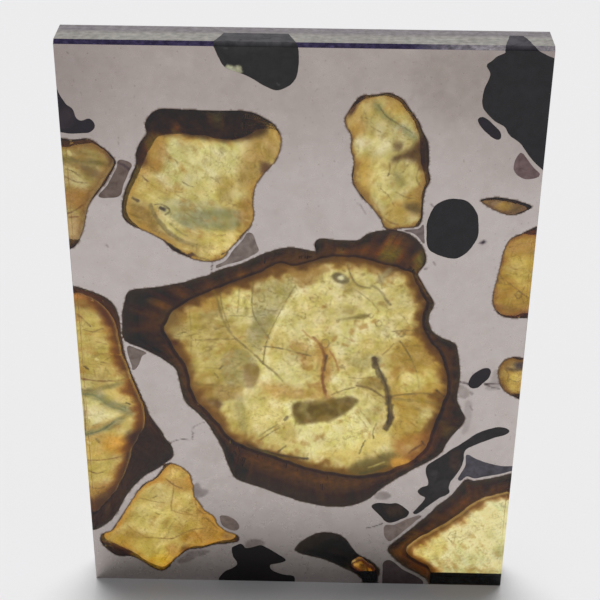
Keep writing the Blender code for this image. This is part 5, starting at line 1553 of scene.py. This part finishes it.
DARK_TONES = {
    "dark_olivine_top": (36, 35, 36),
    "dark_olivine_top_right": (32, 30, 34),
    "dark_olivine_small_oval": (34, 26, 38),
    "dark_olivine_round": (30, 28, 32),
    "dark_olivine_right_oval": (34, 28, 36),
    "dark_olivine_left": (36, 28, 40),
    "dark_olivine_bottom": (26, 21, 22),
    "dark_olivine_lower": (34, 28, 26),
    "dark_olivine_vein": (40, 36, 36),
}
DARK_PATCHES = {
    "dark_olivine_top": [
        ((62, 60, 60), 0.4, 0.6, [(-8, 69.6), (-4, 69.8), (-4.6, 69.2), (-7.6, 69.1)]),
        ((88, 86, 88), 0.1, 0.9, [(-12, 69.9), (4, 69.9), (4, 71), (-12, 71)]),
    ],
    "dark_olivine_top_right": [((82, 78, 84), 0.1, 0.9, [(12, 69.9), (27, 69.9), (27, 71), (12, 71)])],
    "dark_olivine_left": [((64, 52, 58), 0.3, 0.8, [(-25, 62.4), (-23.8, 62.8), (-23.6, 61), (-25, 60.6)])],
    "dark_olivine_vein": [
        ((82, 58, 46), 0.3, 0.8, [(17.6, 20.2), (18.8, 20.4), (18.6, 17.6), (17.8, 18)]),
        ((70, 66, 66), 0.2, 0.7, [(15.4, 17.2), (16.4, 17.4), (16.2, 16), (15.6, 16)]),
        ((60, 56, 56), 0.25, 0.6, [(15.4, 16), (18, 16.4), (17.4, 14.6), (15.8, 14.6)]),
    ],
    "dark_olivine_lower": [((84, 58, 40), 0.4, 0.8, [(10.4, 12), (12.2, 12.2), (12.4, 11), (11, 10.8)])],
}
DARK_STREAKS = {
    "dark_olivine_top": [
        # Painted highlight: a bright yellow glint on the top grain.
        ((255, 252, 200), 1.1, 1.0, [(-7.5, 67.1), (-7.1, 67.05), (-6.7, 67)]),
        ((104, 104, 104), 0.25, 0.8, [(-7.9, 69.5), (-7.7, 69.4)]),
        ((96, 94, 92), 0.22, 0.8, [(-2.6, 65.7), (-2.5, 65.6)]),
    ],
    "dark_olivine_vein": [((90, 84, 84), 0.16, 0.7, [(18.9, 18.6), (18.6, 17.4), (18.2, 16.6)])],
}
for name in grain_names:
    if name.startswith("dark_"):
        patches = DARK_PATCHES.get(name, [])
        streaks = DARK_STREAKS.get(name, [])
        opaque_grain(name, DARK_TONES[name], 0.10, patches, streaks, dark_skin)

# Troilite
# Grey iron sulphide that filled odd corners between olivine and metal as the last melt set. It takes the
# same polish as the metal, but is duller and browner.

troilite_skin, tree, shader = new_material("troilite", 0.8)
dust = ranged(tree, object_noise(tree, 1300.0, 6.0, 0.6), 0.4, 0.7, 0.0, 0.8)
tree.links.new(times(tree, paint_of(tree), dust, (0.62, 0.58, 0.56)), shader.inputs["Base Color"])
rough_and_bumpy(tree, 1300.0, 0.34, 0.5, 0.00003)

TROILITE_TONES = {
    "troilite_upper_left": (112, 98, 92),
    "troilite_middle_left": (128, 116, 110),
    "troilite_middle_right": (120, 108, 106),
    "troilite_right": (112, 94, 94),
    "troilite_left": (122, 110, 104),
    "troilite_lower_right": (84, 82, 88),
    "troilite_lower": (138, 124, 118),
    "troilite_bottom_left": (128, 114, 108),
    "troilite_bottom": (92, 80, 80),
}
TROILITE_STREAKS = {
    "troilite_left": [((58, 50, 50), 0.14, 0.85, [(-19.4, 34.3), (-18.3, 34), (-17.6, 33.4)])],
    "troilite_upper_left": [((72, 60, 66), 0.35, 0.8, [(-20.6, 57), (-19, 56.6), (-18, 55.8)])],
    "troilite_lower_right": [((50, 50, 58), 0.2, 0.8, [(19.8, 16.8), (21, 16.4), (22.6, 16.6),
        (24.6, 17.2)])],
}
for name in grain_names:
    if name.startswith("troilite"):
        streaks = TROILITE_STREAKS.get(name, [])
        opaque_grain(name, TROILITE_TONES[name], 0.05, [], streaks, troilite_skin)
